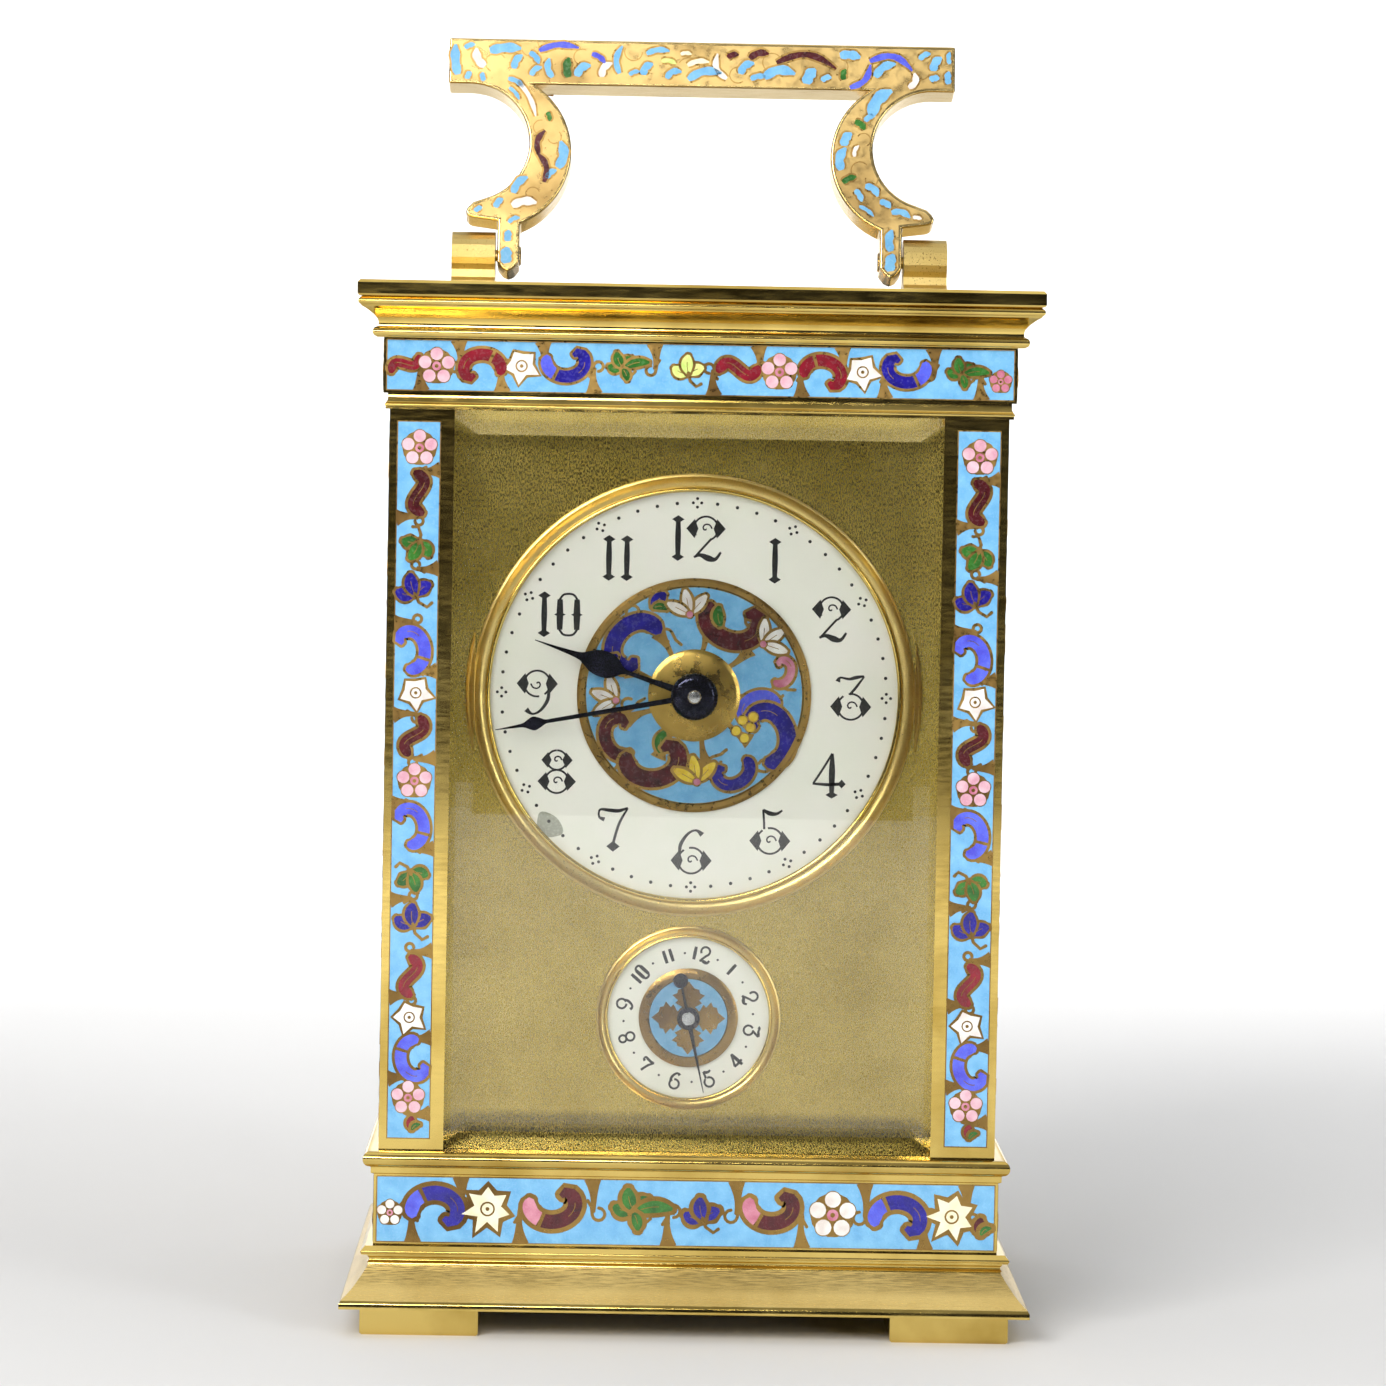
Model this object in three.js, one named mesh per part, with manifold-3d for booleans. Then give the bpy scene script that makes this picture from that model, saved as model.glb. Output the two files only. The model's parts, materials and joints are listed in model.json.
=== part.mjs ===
// A brass carriage clock with an alarm: moulded case, glazed sides, rear door, folding handle,
// two dials and an eight-day movement with a platform escapement.
// Millimetres, +Z up, the front faces -Y. The origin is on the table, under the middle of the case.

import * as THREE from "three";
import { mergeVertices } from "three/addons/utils/BufferGeometryUtils.js";
import Module from "manifold-3d";

const wasm = await Module();
wasm.setup();

// ---------------------------------------------------------------- driving dimensions

const BODY_X = 43; // half width of the glazed body, over its pillars
const BODY_Y = 37; // half depth of the glazed body
const PILLAR = 9; // side of a square corner pillar
const FOOT = { side: 16.5, height: 4, overhang: 2.2 };
const BASE_TOP = 25.6;
const PILLAR_TOP = 128.9;
const FRIEZE_TOP = 138.8;
const CASE_TOP = 146.7;
const FLOOR = { inset: 2, z0: 21.9, z1: 23.7 };

const GLASS = { thick: 3, inset: 1, tongue: 1.2, bevel: 3.3, bevelDepth: 1.1, slack: 0.05 };
const TOP_GLASS = { inset: 14.6, z0: 144.02, sunk: 0.1 };
const DOOR = { halfX: 33.5, z0: 26, z1: 128.5, y0: 31, y1: 36, rail: 5, rebate: 1.4 };
const DOOR_PIVOT = { x: -32.6, y: 35, r: 0.8, bore: 0.9, reach: 1.6 };
const DOOR_KNOB = { stem: 0.75, bore: 0.85 };

const PIVOT_Z = CASE_TOP + 4.6; // height of the handle's pivot
const HANDLE = { lean: 12, halfX: 37, barTop: 31.9, barLow: 25.05, thick: 6 };
const LEG = { outer: 29.4, inner: 26.2, low: -3 };
const LUG = { outer: 36, inner: 29.7, knuckle: 3.4, halfFoot: 3.9 };
const HANDLE_SCREW = { r: 0.9, bore: 1.02, head: 1.6 };

const DIAL_Z = 89.3; // the centre arbor, under the main dial's centre
const MASK = { y: [-27, -26], behindPillar: 3 };
const DIAL = { r: 29.4, sight: 28.7, bezel: 31.2, rise: 1.5, centre: 16.5, hole: 2.6 };
const ALARM = { r: 12, sight: 11.4, bezel: 13, rise: 1.1, centre: 7, hole: 1.3 };
const CENTRE_RISE = 0.6; // how far an enamelled centre stands in front of its dial
const HAND_THICK = 0.5;
const HAND_Y = { hour: -29.3, minute: -30.3, alarm: -28.4 };
const HAND_BORE = { hour: 2.32, minute: 1.48, alarm: 0.98 };

const FRONT_PLATE_Y = [-20, -18];
const BACK_PLATE_Y = [12, 14];
const PLATE = { halfX: 32, z0: 23.75, z1: 116.5 };
const HOLE = { pivot: 0.9, wide: 1.1, pillar: 1.3 }; // radii of the holes in the plates
const STUD = { minute: 0.75, idler: 0.9, front: -24.9 };
const PILLAR_AT = [
  ["lower_left", -28, 29],
  ["lower_right", 28, 29],
  ["upper_left", -28, 110],
  ["upper_right", 28, 110],
];

const MINUTE_ANGLE = 259.5; // degrees clockwise from twelve, as the hands stand at rest
const HOUR_ANGLE = 288.5;
const ALARM_ANGLE = 167.6;

// Wheel work: teeth and modules. Wheels that mesh share a module.
const TEETH = {
  barrel: 48,
  intermediate: 40,
  centre: 48,
  third: 48,
  contrate: 48,
  pinion: 8,
  cannon: 8,
  minute: 24,
  minutePinion: 8,
  hour: 32,
  idler: 44,
  alarm: 32,
  alarmBarrel: 36,
  ratchet: 12,
};
const MODULE = {
  barrel: 0.66,
  intermediate: 0.58,
  centre: 0.46,
  third: 0.46,
  cannon: 0.75,
  hour: 0.6,
  alarmBarrel: 0.54,
  ratchet: 0.6,
};

// ---------------------------------------------------------------- geometry helpers

const DEG = Math.PI / 180;
const polar = (r, angle) => [r * Math.cos(angle), r * Math.sin(angle)];
const range = (n) => Array.from({ length: n }, (_, i) => i);

function shapeOf(points, holes = []) {
  const shape = new THREE.Shape(points.map(([x, y]) => new THREE.Vector2(x, y)));
  for (const hole of holes) {
    shape.holes.push(new THREE.Path(hole.map(([x, y]) => new THREE.Vector2(x, y))));
  }
  return shape;
}

const rect = (x0, x1, y0, y1) => [[x0, y0], [x1, y0], [x1, y1], [x0, y1]];

function circle(r, sides, cx = 0, cy = 0) {
  return range(sides).map((i) => {
    const [x, y] = polar(r, (i * 2 * Math.PI) / sides);
    return [cx + x, cy + y];
  });
}

function arc(cx, cy, r, from, to, steps) {
  return range(steps + 1).map((i) => {
    const [x, y] = polar(r, from + ((to - from) * i) / steps);
    return [cx + x, cy + y];
  });
}

// A shape drawn in X and Z, between two places along Y.
function alongY(shape, y0, y1) {
  const made = new THREE.ExtrudeGeometry(shape, { depth: y1 - y0, bevelEnabled: false });
  return made.rotateX(Math.PI / 2).translate(0, y1, 0);
}

function alongZ(shape, z0, z1) {
  const made = new THREE.ExtrudeGeometry(shape, { depth: z1 - z0, bevelEnabled: false });
  return made.translate(0, 0, z0);
}

// A shape drawn in Y and Z, between two places along X.
function alongX(shape, x0, x1) {
  const made = new THREE.ExtrudeGeometry(shape, { depth: x1 - x0, bevelEnabled: false });
  const turn = new THREE.Matrix4().makeBasis(
    new THREE.Vector3(0, 1, 0),
    new THREE.Vector3(0, 0, 1),
    new THREE.Vector3(1, 0, 0),
  );
  return made.applyMatrix4(turn).translate(x0, 0, 0);
}

// A body of revolution. Its profile is [radius, distance along the axis] and starts and ends on the axis.
function turned(profile, sides = 24) {
  const points = profile.map(([r, t]) => new THREE.Vector2(r, t));
  return new THREE.LatheGeometry(points, sides);
}

const turnedY = (profile, sides, x = 0, z = 0) => turned(profile, sides).translate(x, 0, z);

// A ring on the Y axis through (0, z). Its profile is [radius, y], closed on itself.
function ringY(profile, z, sides) {
  const anticlockwise = !THREE.ShapeUtils.isClockWise(profile.map(([x, y]) => ({ x, y })));
  const ordered = anticlockwise ? profile : [...profile].reverse();
  return turned([...ordered, ordered[0]], sides).translate(0, 0, z);
}

// A plain rod on the Y axis through (x, z).
function rodY(r, y0, y1, x, z, sides = 12) {
  return alongY(shapeOf(circle(r, sides, x, z)), y0, y1);
}

// A closed moulding that runs round the body with mitred corners.
// Its profile is [distance outside the body, height], closed on itself.
function mitredRing(profile) {
  const corners = [[1, 1], [-1, 1], [-1, -1], [1, -1]];
  const n = profile.length;
  const positions = corners.flatMap(([sx, sy]) =>
    profile.flatMap(([d, z]) => [sx * (BODY_X + d), sy * (BODY_Y + d), z]),
  );
  const index = [];
  for (const c of range(4)) {
    for (const i of range(n)) {
      const a = c * n + i;
      const b = c * n + ((i + 1) % n);
      const e = ((c + 1) % 4) * n + i;
      const f = ((c + 1) % 4) * n + ((i + 1) % n);
      index.push(a, e, b, b, e, f);
    }
  }
  const made = new THREE.BufferGeometry();
  made.setAttribute("position", new THREE.Float32BufferAttribute(positions, 3));
  made.setIndex(index);
  return made;
}

// A stack of rectangles [halfX, halfY, z], lowest first, joined into one closed block.
function stackedRects(layers) {
  const positions = layers.flatMap(([x, y, z]) => [x, y, z, -x, y, z, -x, -y, z, x, -y, z]);
  const top = 4 * (layers.length - 1);
  const index = [0, 2, 1, 0, 3, 2, top, top + 1, top + 2, top, top + 2, top + 3];
  for (const k of range(layers.length - 1)) {
    for (const i of range(4)) {
      const a = 4 * k + i;
      const b = 4 * k + ((i + 1) % 4);
      index.push(a, b, b + 4, a, b + 4, a + 4);
    }
  }
  const made = new THREE.BufferGeometry();
  made.setAttribute("position", new THREE.Float32BufferAttribute(positions, 3));
  made.setIndex(index);
  return made;
}

function solidOf(geometry) {
  const bare = geometry.clone();
  bare.deleteAttribute("normal");
  bare.deleteAttribute("uv");
  const merged = mergeVertices(bare, 1e-4);
  return new wasm.Manifold(
    new wasm.Mesh({
      numProp: 3,
      vertProperties: merged.attributes.position.array,
      triVerts: new Uint32Array(merged.index.array),
    }),
  );
}

function geometryOf(solid) {
  const mesh = solid.getMesh();
  const made = new THREE.BufferGeometry();
  made.setAttribute("position", new THREE.BufferAttribute(mesh.vertProperties, 3));
  made.setIndex(new THREE.BufferAttribute(mesh.triVerts, 1));
  return made;
}

const join = (...pieces) => geometryOf(pieces.map(solidOf).reduce((a, b) => a.add(b)));

function cut(piece, ...tools) {
  return geometryOf(tools.map(solidOf).reduce((a, b) => a.subtract(b), solidOf(piece)));
}

// ---------------------------------------------------------------- teeth

// How far a tooth stands above and below the pitch line, in modules.
const WHEEL_TOOTH = { above: 0.7, below: 1.2 };
const PINION_LEAF = { above: 0.65, below: 1.05, root: 0.2, tip: 0.09 };

// A wheel's teeth are plain points.
function wheelTeeth(teeth, module, phase) {
  const r = (teeth * module) / 2;
  const pitch = (2 * Math.PI) / teeth;
  return range(teeth).flatMap((k) => [
    polar(r + WHEEL_TOOTH.above * module, phase + k * pitch),
    polar(r - WHEEL_TOOTH.below * module, phase + (k + 0.5) * pitch),
  ]);
}

// A pinion's leaves are flat-topped. Their half widths are shares of the pitch.
function pinionLeaves(teeth, r, module, phase) {
  const pitch = (2 * Math.PI) / teeth;
  return range(teeth).flatMap((k) => {
    const at = phase + k * pitch;
    return [
      polar(r - PINION_LEAF.below * module, at - PINION_LEAF.root * pitch),
      polar(r + PINION_LEAF.above * module, at - PINION_LEAF.tip * pitch),
      polar(r + PINION_LEAF.above * module, at + PINION_LEAF.tip * pitch),
      polar(r - PINION_LEAF.below * module, at + PINION_LEAF.root * pitch),
    ];
  });
}

// The phase that puts a gear in mesh with another: angle runs from the first gear to this one.
const meshPhase = (phase, teethFrom, teethTo, angle) =>
  angle + Math.PI - (teethFrom / teethTo) * (phase - angle) - Math.PI / teethTo;

const shifted = (points, [x, z]) => points.map(([px, pz]) => [px + x, pz + z]);

// The openings between a wheel's arms.
function crossings(inner, outer, arms, phase) {
  const half = Math.PI / arms;
  return range(arms).map((k) => {
    const middle = phase + 2 * half * k;
    const wide = half - 0.9 / outer;
    const narrow = half - 0.9 / inner;
    return [
      ...arc(0, 0, outer, middle - wide, middle + wide, 4),
      ...arc(0, 0, inner, middle + narrow, middle - narrow, 1),
    ];
  });
}

// A crossed-out wheel: rim and arms, with teeth.
function wheel(at, teeth, module, phase, y0, y1, { arms = 4, hub = 2.6, bore = 0 } = {}) {
  const rimInner = (teeth * module) / 2 - 1.2 * module - 1.1;
  const holes = arms ? crossings(hub, rimInner, arms, phase) : [];
  if (bore) holes.push(circle(bore, 12));
  const shape = shapeOf(
    shifted(wheelTeeth(teeth, module, phase), at),
    holes.map((hole) => shifted(hole, at)),
  );
  return alongY(shape, y0, y1);
}

function pinion(at, teeth, module, phase, y0, y1, bore = 0) {
  const holes = bore ? [shifted(circle(bore, 12), at)] : [];
  const leaves = pinionLeaves(teeth, (teeth * module) / 2, module, phase);
  return alongY(shapeOf(shifted(leaves, at), holes), y0, y1);
}

// ---------------------------------------------------------------- where the train's arbors stand

const step = ([x, z], distance, angle) => [
  x + distance * Math.cos(angle),
  z + distance * Math.sin(angle),
];
const centres = (a, b, module) => ((a + b) * module) / 2;

const C = [0, DIAL_Z];
const TO = {
  intermediate: -110 * DEG,
  barrel: -123 * DEG,
  third: 50 * DEG,
  contrate: 170 * DEG,
  minute: 25 * DEG,
  down: -90 * DEG,
};
const I = step(C, centres(TEETH.pinion, TEETH.intermediate, MODULE.intermediate), TO.intermediate);
const B = step(I, centres(TEETH.pinion, TEETH.barrel, MODULE.barrel), TO.barrel);
const T = step(C, centres(TEETH.pinion, TEETH.centre, MODULE.centre), TO.third);
const K = step(T, centres(TEETH.pinion, TEETH.third, MODULE.third), TO.contrate);
const M = step(C, centres(TEETH.cannon, TEETH.minute, MODULE.cannon), TO.minute);
const IDLER = step(C, centres(TEETH.hour, TEETH.idler, MODULE.hour), TO.down);
const S = step(IDLER, centres(TEETH.idler, TEETH.alarm, MODULE.hour), TO.down);
const A = [15.5, 60];

// The alarm hammer: its pivot, its length, and its angle from hanging straight down.
const HAMMER = {
  at: [8.5, 89.2], length: 10, angle: -45 * DEG, armY: [16, 17], headY: 18.2, head: { r: 2, long: 4.4 },
};

// ---------------------------------------------------------------- materials

const metal = (color, roughness) =>
  new THREE.MeshStandardMaterial({ color, metalness: 1, roughness });
const MATERIALS = {
  brass: metal(0xcaa545, 0.18),
  satin: metal(0xb59a4a, 0.4),
  gilt: metal(0xd4af55, 0.25),
  steel: metal(0x9a9c9f, 0.25),
  blued: metal(0x11131c, 0.3),
  spring: metal(0x1c2c5a, 0.3),
  porcelain: new THREE.MeshStandardMaterial({ color: 0xf3f1e2, roughness: 0.25 }),
  enamel: new THREE.MeshStandardMaterial({ color: 0x6fb4d8, roughness: 0.3 }),
  glass: new THREE.MeshStandardMaterial({
    color: 0xf2f6f0,
    roughness: 0.02,
    transparent: true,
    opacity: 0.25,
  }),
};

const clock = new THREE.Group();

function add(name, geometry, material, parent = clock) {
  const mesh = new THREE.Mesh(geometry, material);
  mesh.name = name;
  parent.add(mesh);
  return mesh;
}

// ---------------------------------------------------------------- case

function addBase() {
  const profile = [
    [5, 4], [5, 4.8], [4.6, 5.1], [3.3, 6.6], [1.8, 8.6], [1.1, 9.6],
    [1.1, 11.2], [2.2, 11.2], [2.2, 12], [1.6, 12.4],
    [0.65, 12.4], [0.65, 22.3], [1, 22.6], [1, 23.4],
    ...arc(1, 24.5, 1.1, -70 * DEG, 70 * DEG, 5),
    [0.9, BASE_TOP], [-9.5, BASE_TOP], [-9.5, 23.6], [-3, 23.6], [-3, 4],
  ];
  const x = BODY_X - FLOOR.inset;
  const y = BODY_Y - FLOOR.inset;
  const floor = stackedRects([[x, y, FLOOR.z0], [x, y, FLOOR.z1]]);
  const socket = doorSocket(BASE_TOP - DOOR_PIVOT.reach, BASE_TOP + 1);
  add("base_frame", cut(join(mitredRing(profile), floor), socket), MATERIALS.brass);
}

// The round hole that one of the rear door's pins turns in.
function doorSocket(z0, z1) {
  return alongZ(shapeOf(circle(DOOR_PIVOT.bore, 16, DOOR_PIVOT.x, DOOR_PIVOT.y)), z0, z1);
}

function addFeet() {
  const outerX = BODY_X + FOOT.overhang;
  const outerY = BODY_Y + FOOT.overhang;
  const half = FOOT.side / 2;
  for (const [side, sx] of [["left", -1], ["right", 1]]) {
    for (const [end, sy] of [["front", -1], ["back", 1]]) {
      const edge = 0.3;
      const foot = stackedRects([
        [half - edge, half - edge, 0],
        [half, half, edge],
        [half, half, FOOT.height],
      ]);
      foot.translate(sx * (outerX - half), sy * (outerY - half), 0);
      add(`foot_${end}_${side}`, foot, MATERIALS.brass);
    }
  }
}

// One corner pillar, square with a groove for each pane of glass that it holds.
function addPillars() {
  const slack = 0.1;
  const g0 = GLASS.inset - slack; // the groove's edges, from the pillar's outer face
  const g1 = GLASS.inset + GLASS.thick + slack;
  const deep = PILLAR - GLASS.tongue - 2 * slack;
  // Drawn for a corner at (0, 0) that faces outwards along -X and -Y.
  const front = [
    [0, 0], [PILLAR, 0], [PILLAR, g0], [deep, g0], [deep, g1], [PILLAR, g1], [PILLAR, PILLAR],
    [g1, PILLAR], [g1, deep], [g0, deep], [g0, PILLAR], [0, PILLAR],
  ];
  const back = [
    [0, 0], [PILLAR, 0], [PILLAR, PILLAR],
    [g1, PILLAR], [g1, deep], [g0, deep], [g0, PILLAR], [0, PILLAR],
  ];
  for (const [side, sx] of [["left", -1], ["right", 1]]) {
    for (const [end, sy, outline] of [["front", -1, front], ["back", 1, back]]) {
      const points = outline.map(([x, y]) => [sx * (BODY_X - x), sy * (BODY_Y - y)]);
      add(`pillar_${end}_${side}`, alongZ(shapeOf(points), BASE_TOP, PILLAR_TOP), MATERIALS.brass);
    }
  }
}

function addTop() {
  const band = [
    [0.6, PILLAR_TOP], [0.6, 130.2], [0.3, 130.5], [0.3, 131.1], [1, 131.1], [1, FRIEZE_TOP],
    [-3, FRIEZE_TOP], [-3, 130.9], [-9.5, 130.9], [-9.5, PILLAR_TOP],
  ];
  const socket = doorSocket(PILLAR_TOP - 1, PILLAR_TOP + DOOR_PIVOT.reach);
  add("top_frame", cut(mitredRing(band), socket), MATERIALS.brass);

  const cornice = [
    [1.4, FRIEZE_TOP], [2.2, 138.9],
    ...arc(1.8, 139.6, 0.7, -40 * DEG, 60 * DEG, 3),
    [1.7, 140.7], [1.9, 141.4], [2.6, 142.2], [3.6, 142.9],
    [4.1, 143.1], [4.3, 144.2], [4, 144.35], [4, 144.5], [4.45, 144.7],
    [4.5, 146.4], [4.2, CASE_TOP],
    [-14.5, CASE_TOP], [-14.5, 144], [-16.5, 144], [-16.5, 142.7], [-3, 142.7], [-3, FRIEZE_TOP],
  ];
  add("cornice", mitredRing(cornice), MATERIALS.brass);

  const x = BODY_X - TOP_GLASS.inset;
  const y = BODY_Y - TOP_GLASS.inset;
  const glass = stackedRects([
    [x, y, TOP_GLASS.z0],
    [x, y, CASE_TOP - GLASS.bevelDepth],
    [x - GLASS.bevel, y - GLASS.bevel, CASE_TOP - TOP_GLASS.sunk],
  ]);
  add("top_glass", glass, MATERIALS.glass);
}

// A bevelled pane that faces up, turned and moved to its wall by the caller.
function pane(halfWidth, halfHeight, bevelX, bevelZ) {
  return stackedRects([
    [halfWidth, halfHeight, 0],
    [halfWidth, halfHeight, GLASS.thick - GLASS.bevelDepth],
    [halfWidth - bevelX, halfHeight - bevelZ, GLASS.thick],
  ]);
}

function addGlazing() {
  const middle = (BASE_TOP + PILLAR_TOP) / 2;
  const halfHeight = (PILLAR_TOP - BASE_TOP) / 2 - GLASS.slack;
  const hidden = GLASS.bevel + GLASS.tongue;
  const back = GLASS.inset + GLASS.thick;

  const front = pane(BODY_X - PILLAR + GLASS.tongue, halfHeight, hidden, GLASS.bevel);
  front.rotateX(Math.PI / 2).translate(0, -BODY_Y + back, middle);
  add("front_glass", front, MATERIALS.glass);

  for (const [side, sign] of [["left", -1], ["right", 1]]) {
    const flank = pane(BODY_Y - PILLAR + GLASS.tongue, halfHeight, hidden, GLASS.bevel);
    flank.rotateX(Math.PI / 2).rotateZ((sign * Math.PI) / 2);
    flank.translate(sign * (BODY_X - back), 0, middle);
    add(`side_glass_${side}`, flank, MATERIALS.glass);
  }
}

function addDoor() {
  const { halfX, z0, z1, y0, y1, rail, rebate } = DOOR;
  const outer = rect(-halfX, halfX, z0, z1);
  const sight = rect(-halfX + rail, halfX - rail, z0 + rail, z1 - rail);
  const wide = rail - rebate;
  const seat = rect(-halfX + wide, halfX - wide, z0 + wide, z1 - wide);
  const lip = (y0 + y1) / 2 + 0.1;
  const knobX = halfX - rail / 2;
  const knobZ = (z0 + z1) / 2;
  const pin = shapeOf(circle(DOOR_PIVOT.r, 16, DOOR_PIVOT.x, DOOR_PIVOT.y));
  const pins = alongZ(pin, z0 - DOOR_PIVOT.reach, z1 + DOOR_PIVOT.reach);
  const frame = cut(
    join(alongY(shapeOf(outer, [seat]), y0, lip), alongY(shapeOf(outer, [sight]), lip, y1), pins),
    rodY(DOOR_KNOB.bore, y0 - 1, y1 + 1, knobX, knobZ, 16),
  );
  add("door_frame", frame, MATERIALS.brass);

  const gap = 0.1;
  const halfW = halfX - wide - gap;
  const halfH = (z1 - z0) / 2 - wide - gap;
  const glass = stackedRects([[halfW, halfH, 0], [halfW, halfH, lip - y0 - 2 * gap]]);
  glass.rotateX(Math.PI / 2).translate(0, lip - gap, knobZ);
  add("door_glass", glass, MATERIALS.glass);

  const knob = turnedY(
    [
      [0, y0 + 0.5], [DOOR_KNOB.stem, y0 + 0.5], [DOOR_KNOB.stem, y1 + 0.1], [1.7, y1 + 0.1],
      [1.7, y1 + 0.6], [1, y1 + 1.1], [1, y1 + 1.9], [2.1, y1 + 2.6], [2.4, y1 + 3.6],
      [1.9, y1 + 4.6], [0, y1 + 5],
    ],
    14,
    knobX,
    knobZ,
  );
  add("door_knob", knob, MATERIALS.brass);
}

// ---------------------------------------------------------------- handle

// Half of the handle's outline, from the middle of the bar's lower edge, for the side at -X.
function handleHalf() {
  const scoop = { x: -33.8, z: 16.3, r: 8.75 };
  const bow = { x: -30.7, z: 15, r: 11.8 };
  const { barTop, barLow, halfX } = HANDLE;
  const bowTop = Math.asin((barLow - bow.z) / bow.r);
  const bowLow = -Math.acos((-LEG.inner - bow.x) / bow.r);
  return [
    ...arc(bow.x, bow.z, bow.r, bowTop, bowLow, 12),
    [-LEG.inner, LEG.low + 1.3],
    [-(LEG.inner + LEG.outer) / 2, LEG.low],
    [-LEG.outer, LEG.low + 1.3],
    [-LEG.outer, 4.5], [-33.5, 5.1], [-34.1, 5.7], [-33.9, 6.4],
    ...arc(scoop.x, scoop.z, scoop.r, -73 * DEG, 90 * DEG, 12),
    [-halfX, barLow],
    [-halfX, barTop],
  ];
}

function addHandle() {
  const left = handleHalf();
  const right = left.map(([x, z]) => [-x, z]).reverse();
  const half = HANDLE.thick / 2;
  const bar = alongY(shapeOf([...left, ...right]), -half, half);
  const bore = alongX(shapeOf(circle(HANDLE_SCREW.bore, 16)), -LEG.outer - 1, LEG.outer + 1);
  const grip = new THREE.Group();
  grip.position.z = PIVOT_Z;
  grip.rotation.x = -HANDLE.lean * DEG;
  clock.add(grip);
  add("handle", cut(bar, bore), MATERIALS.gilt, grip);

  const foot = LUG.halfFoot;
  const drop = CASE_TOP - PIVOT_Z;
  const side = shapeOf([
    [-foot, drop], [foot, drop], [foot, drop + 0.9], [foot - 1, drop + 1.4],
    ...arc(0, 0, LUG.knuckle, -38 * DEG, 218 * DEG, 16),
    [-foot + 1, drop + 1.4], [-foot, drop + 0.9],
  ]);
  for (const [name, sign] of [["left", -1], ["right", 1]]) {
    const [x0, x1] = sign < 0 ? [-LUG.outer, -LUG.inner] : [LUG.inner, LUG.outer];
    const blank = alongX(side, x0, x1);
    // The hole is open towards the handle and blind on the outside.
    const shift = -sign;
    const hole = alongX(shapeOf(circle(HANDLE_SCREW.bore, 16)), x0 + shift, x1 + shift);
    add(`handle_lug_${name}`, cut(blank, hole).translate(0, 0, PIVOT_Z), MATERIALS.brass);

    const screw = turned(
      [
        [0, LEG.inner - 1.1], [HANDLE_SCREW.head - 0.4, LEG.inner - 1.1],
        [HANDLE_SCREW.head, LEG.inner - 0.7], [HANDLE_SCREW.head, LEG.inner - 0.1],
        [HANDLE_SCREW.r, LEG.inner - 0.1], [HANDLE_SCREW.r, LUG.outer - 1.2], [0, LUG.outer - 1.2],
      ],
      16,
    );
    screw.rotateZ((-sign * Math.PI) / 2).translate(0, 0, PIVOT_Z);
    add(`handle_screw_${name}`, screw, MATERIALS.brass);
  }
}

// ---------------------------------------------------------------- dials and hands

function addDials() {
  const [front, back] = MASK.y;
  const slack = 0.15;
  const halfX = BODY_X - PILLAR + MASK.behindPillar;
  const mask = shapeOf(rect(-halfX, halfX, BASE_TOP + GLASS.slack, PILLAR_TOP - GLASS.slack), [
    circle(DIAL.r + slack, 40, ...C),
    circle(ALARM.r + slack, 24, ...S),
  ]);
  add("mask_plate", alongY(mask, front, back), MATERIALS.satin);

  const sets = [
    ["main_dial", "main_bezel", "dial_centre", DIAL, C[1], 40],
    ["alarm_dial", "alarm_bezel", "alarm_centre", ALARM, S[1], 24],
  ];
  for (const [dial, bezel, centre, size, z, sides] of sets) {
    const disc = [[size.hole, front], [size.r, front], [size.r, back + 0.2], [size.hole, back + 0.2]];
    add(dial, ringY(disc, z, sides), MATERIALS.porcelain);
    const low = front - 0.05;
    const wide = size.bezel - size.sight;
    const rim = [
      [size.sight, low], [size.sight, low - 0.4 * size.rise], [size.sight + 0.6 * wide, low - size.rise],
      [size.bezel, low - 0.6 * size.rise], [size.bezel, low],
    ];
    add(bezel, ringY(rim, z, sides), MATERIALS.gilt);
    const top = low - CENTRE_RISE;
    const boss = [[size.hole, low], [size.centre, low], [size.centre, top], [size.hole, top]];
    add(centre, ringY(boss, z, sides), MATERIALS.enamel);
  }
}

// A flat hand that points along +X: outline is [distance, half width], root first.
function handBlank(outline, hub, bore) {
  const below = outline.map(([x, w]) => [x, -w]).reverse();
  const half = HAND_THICK / 2;
  const blade = alongY(shapeOf([...outline, ...below]), -half, half);
  const eye = alongY(shapeOf(circle(hub, 24)), -half, half);
  return cut(join(blade, eye), rodY(bore, -1, 1, 0, 0, 20));
}

// Clockwise from twelve, seen from the front.
function pointHand(blank, clockAngle, y, z) {
  return blank.rotateY((clockAngle - 90) * DEG).translate(0, y, z);
}

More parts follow.
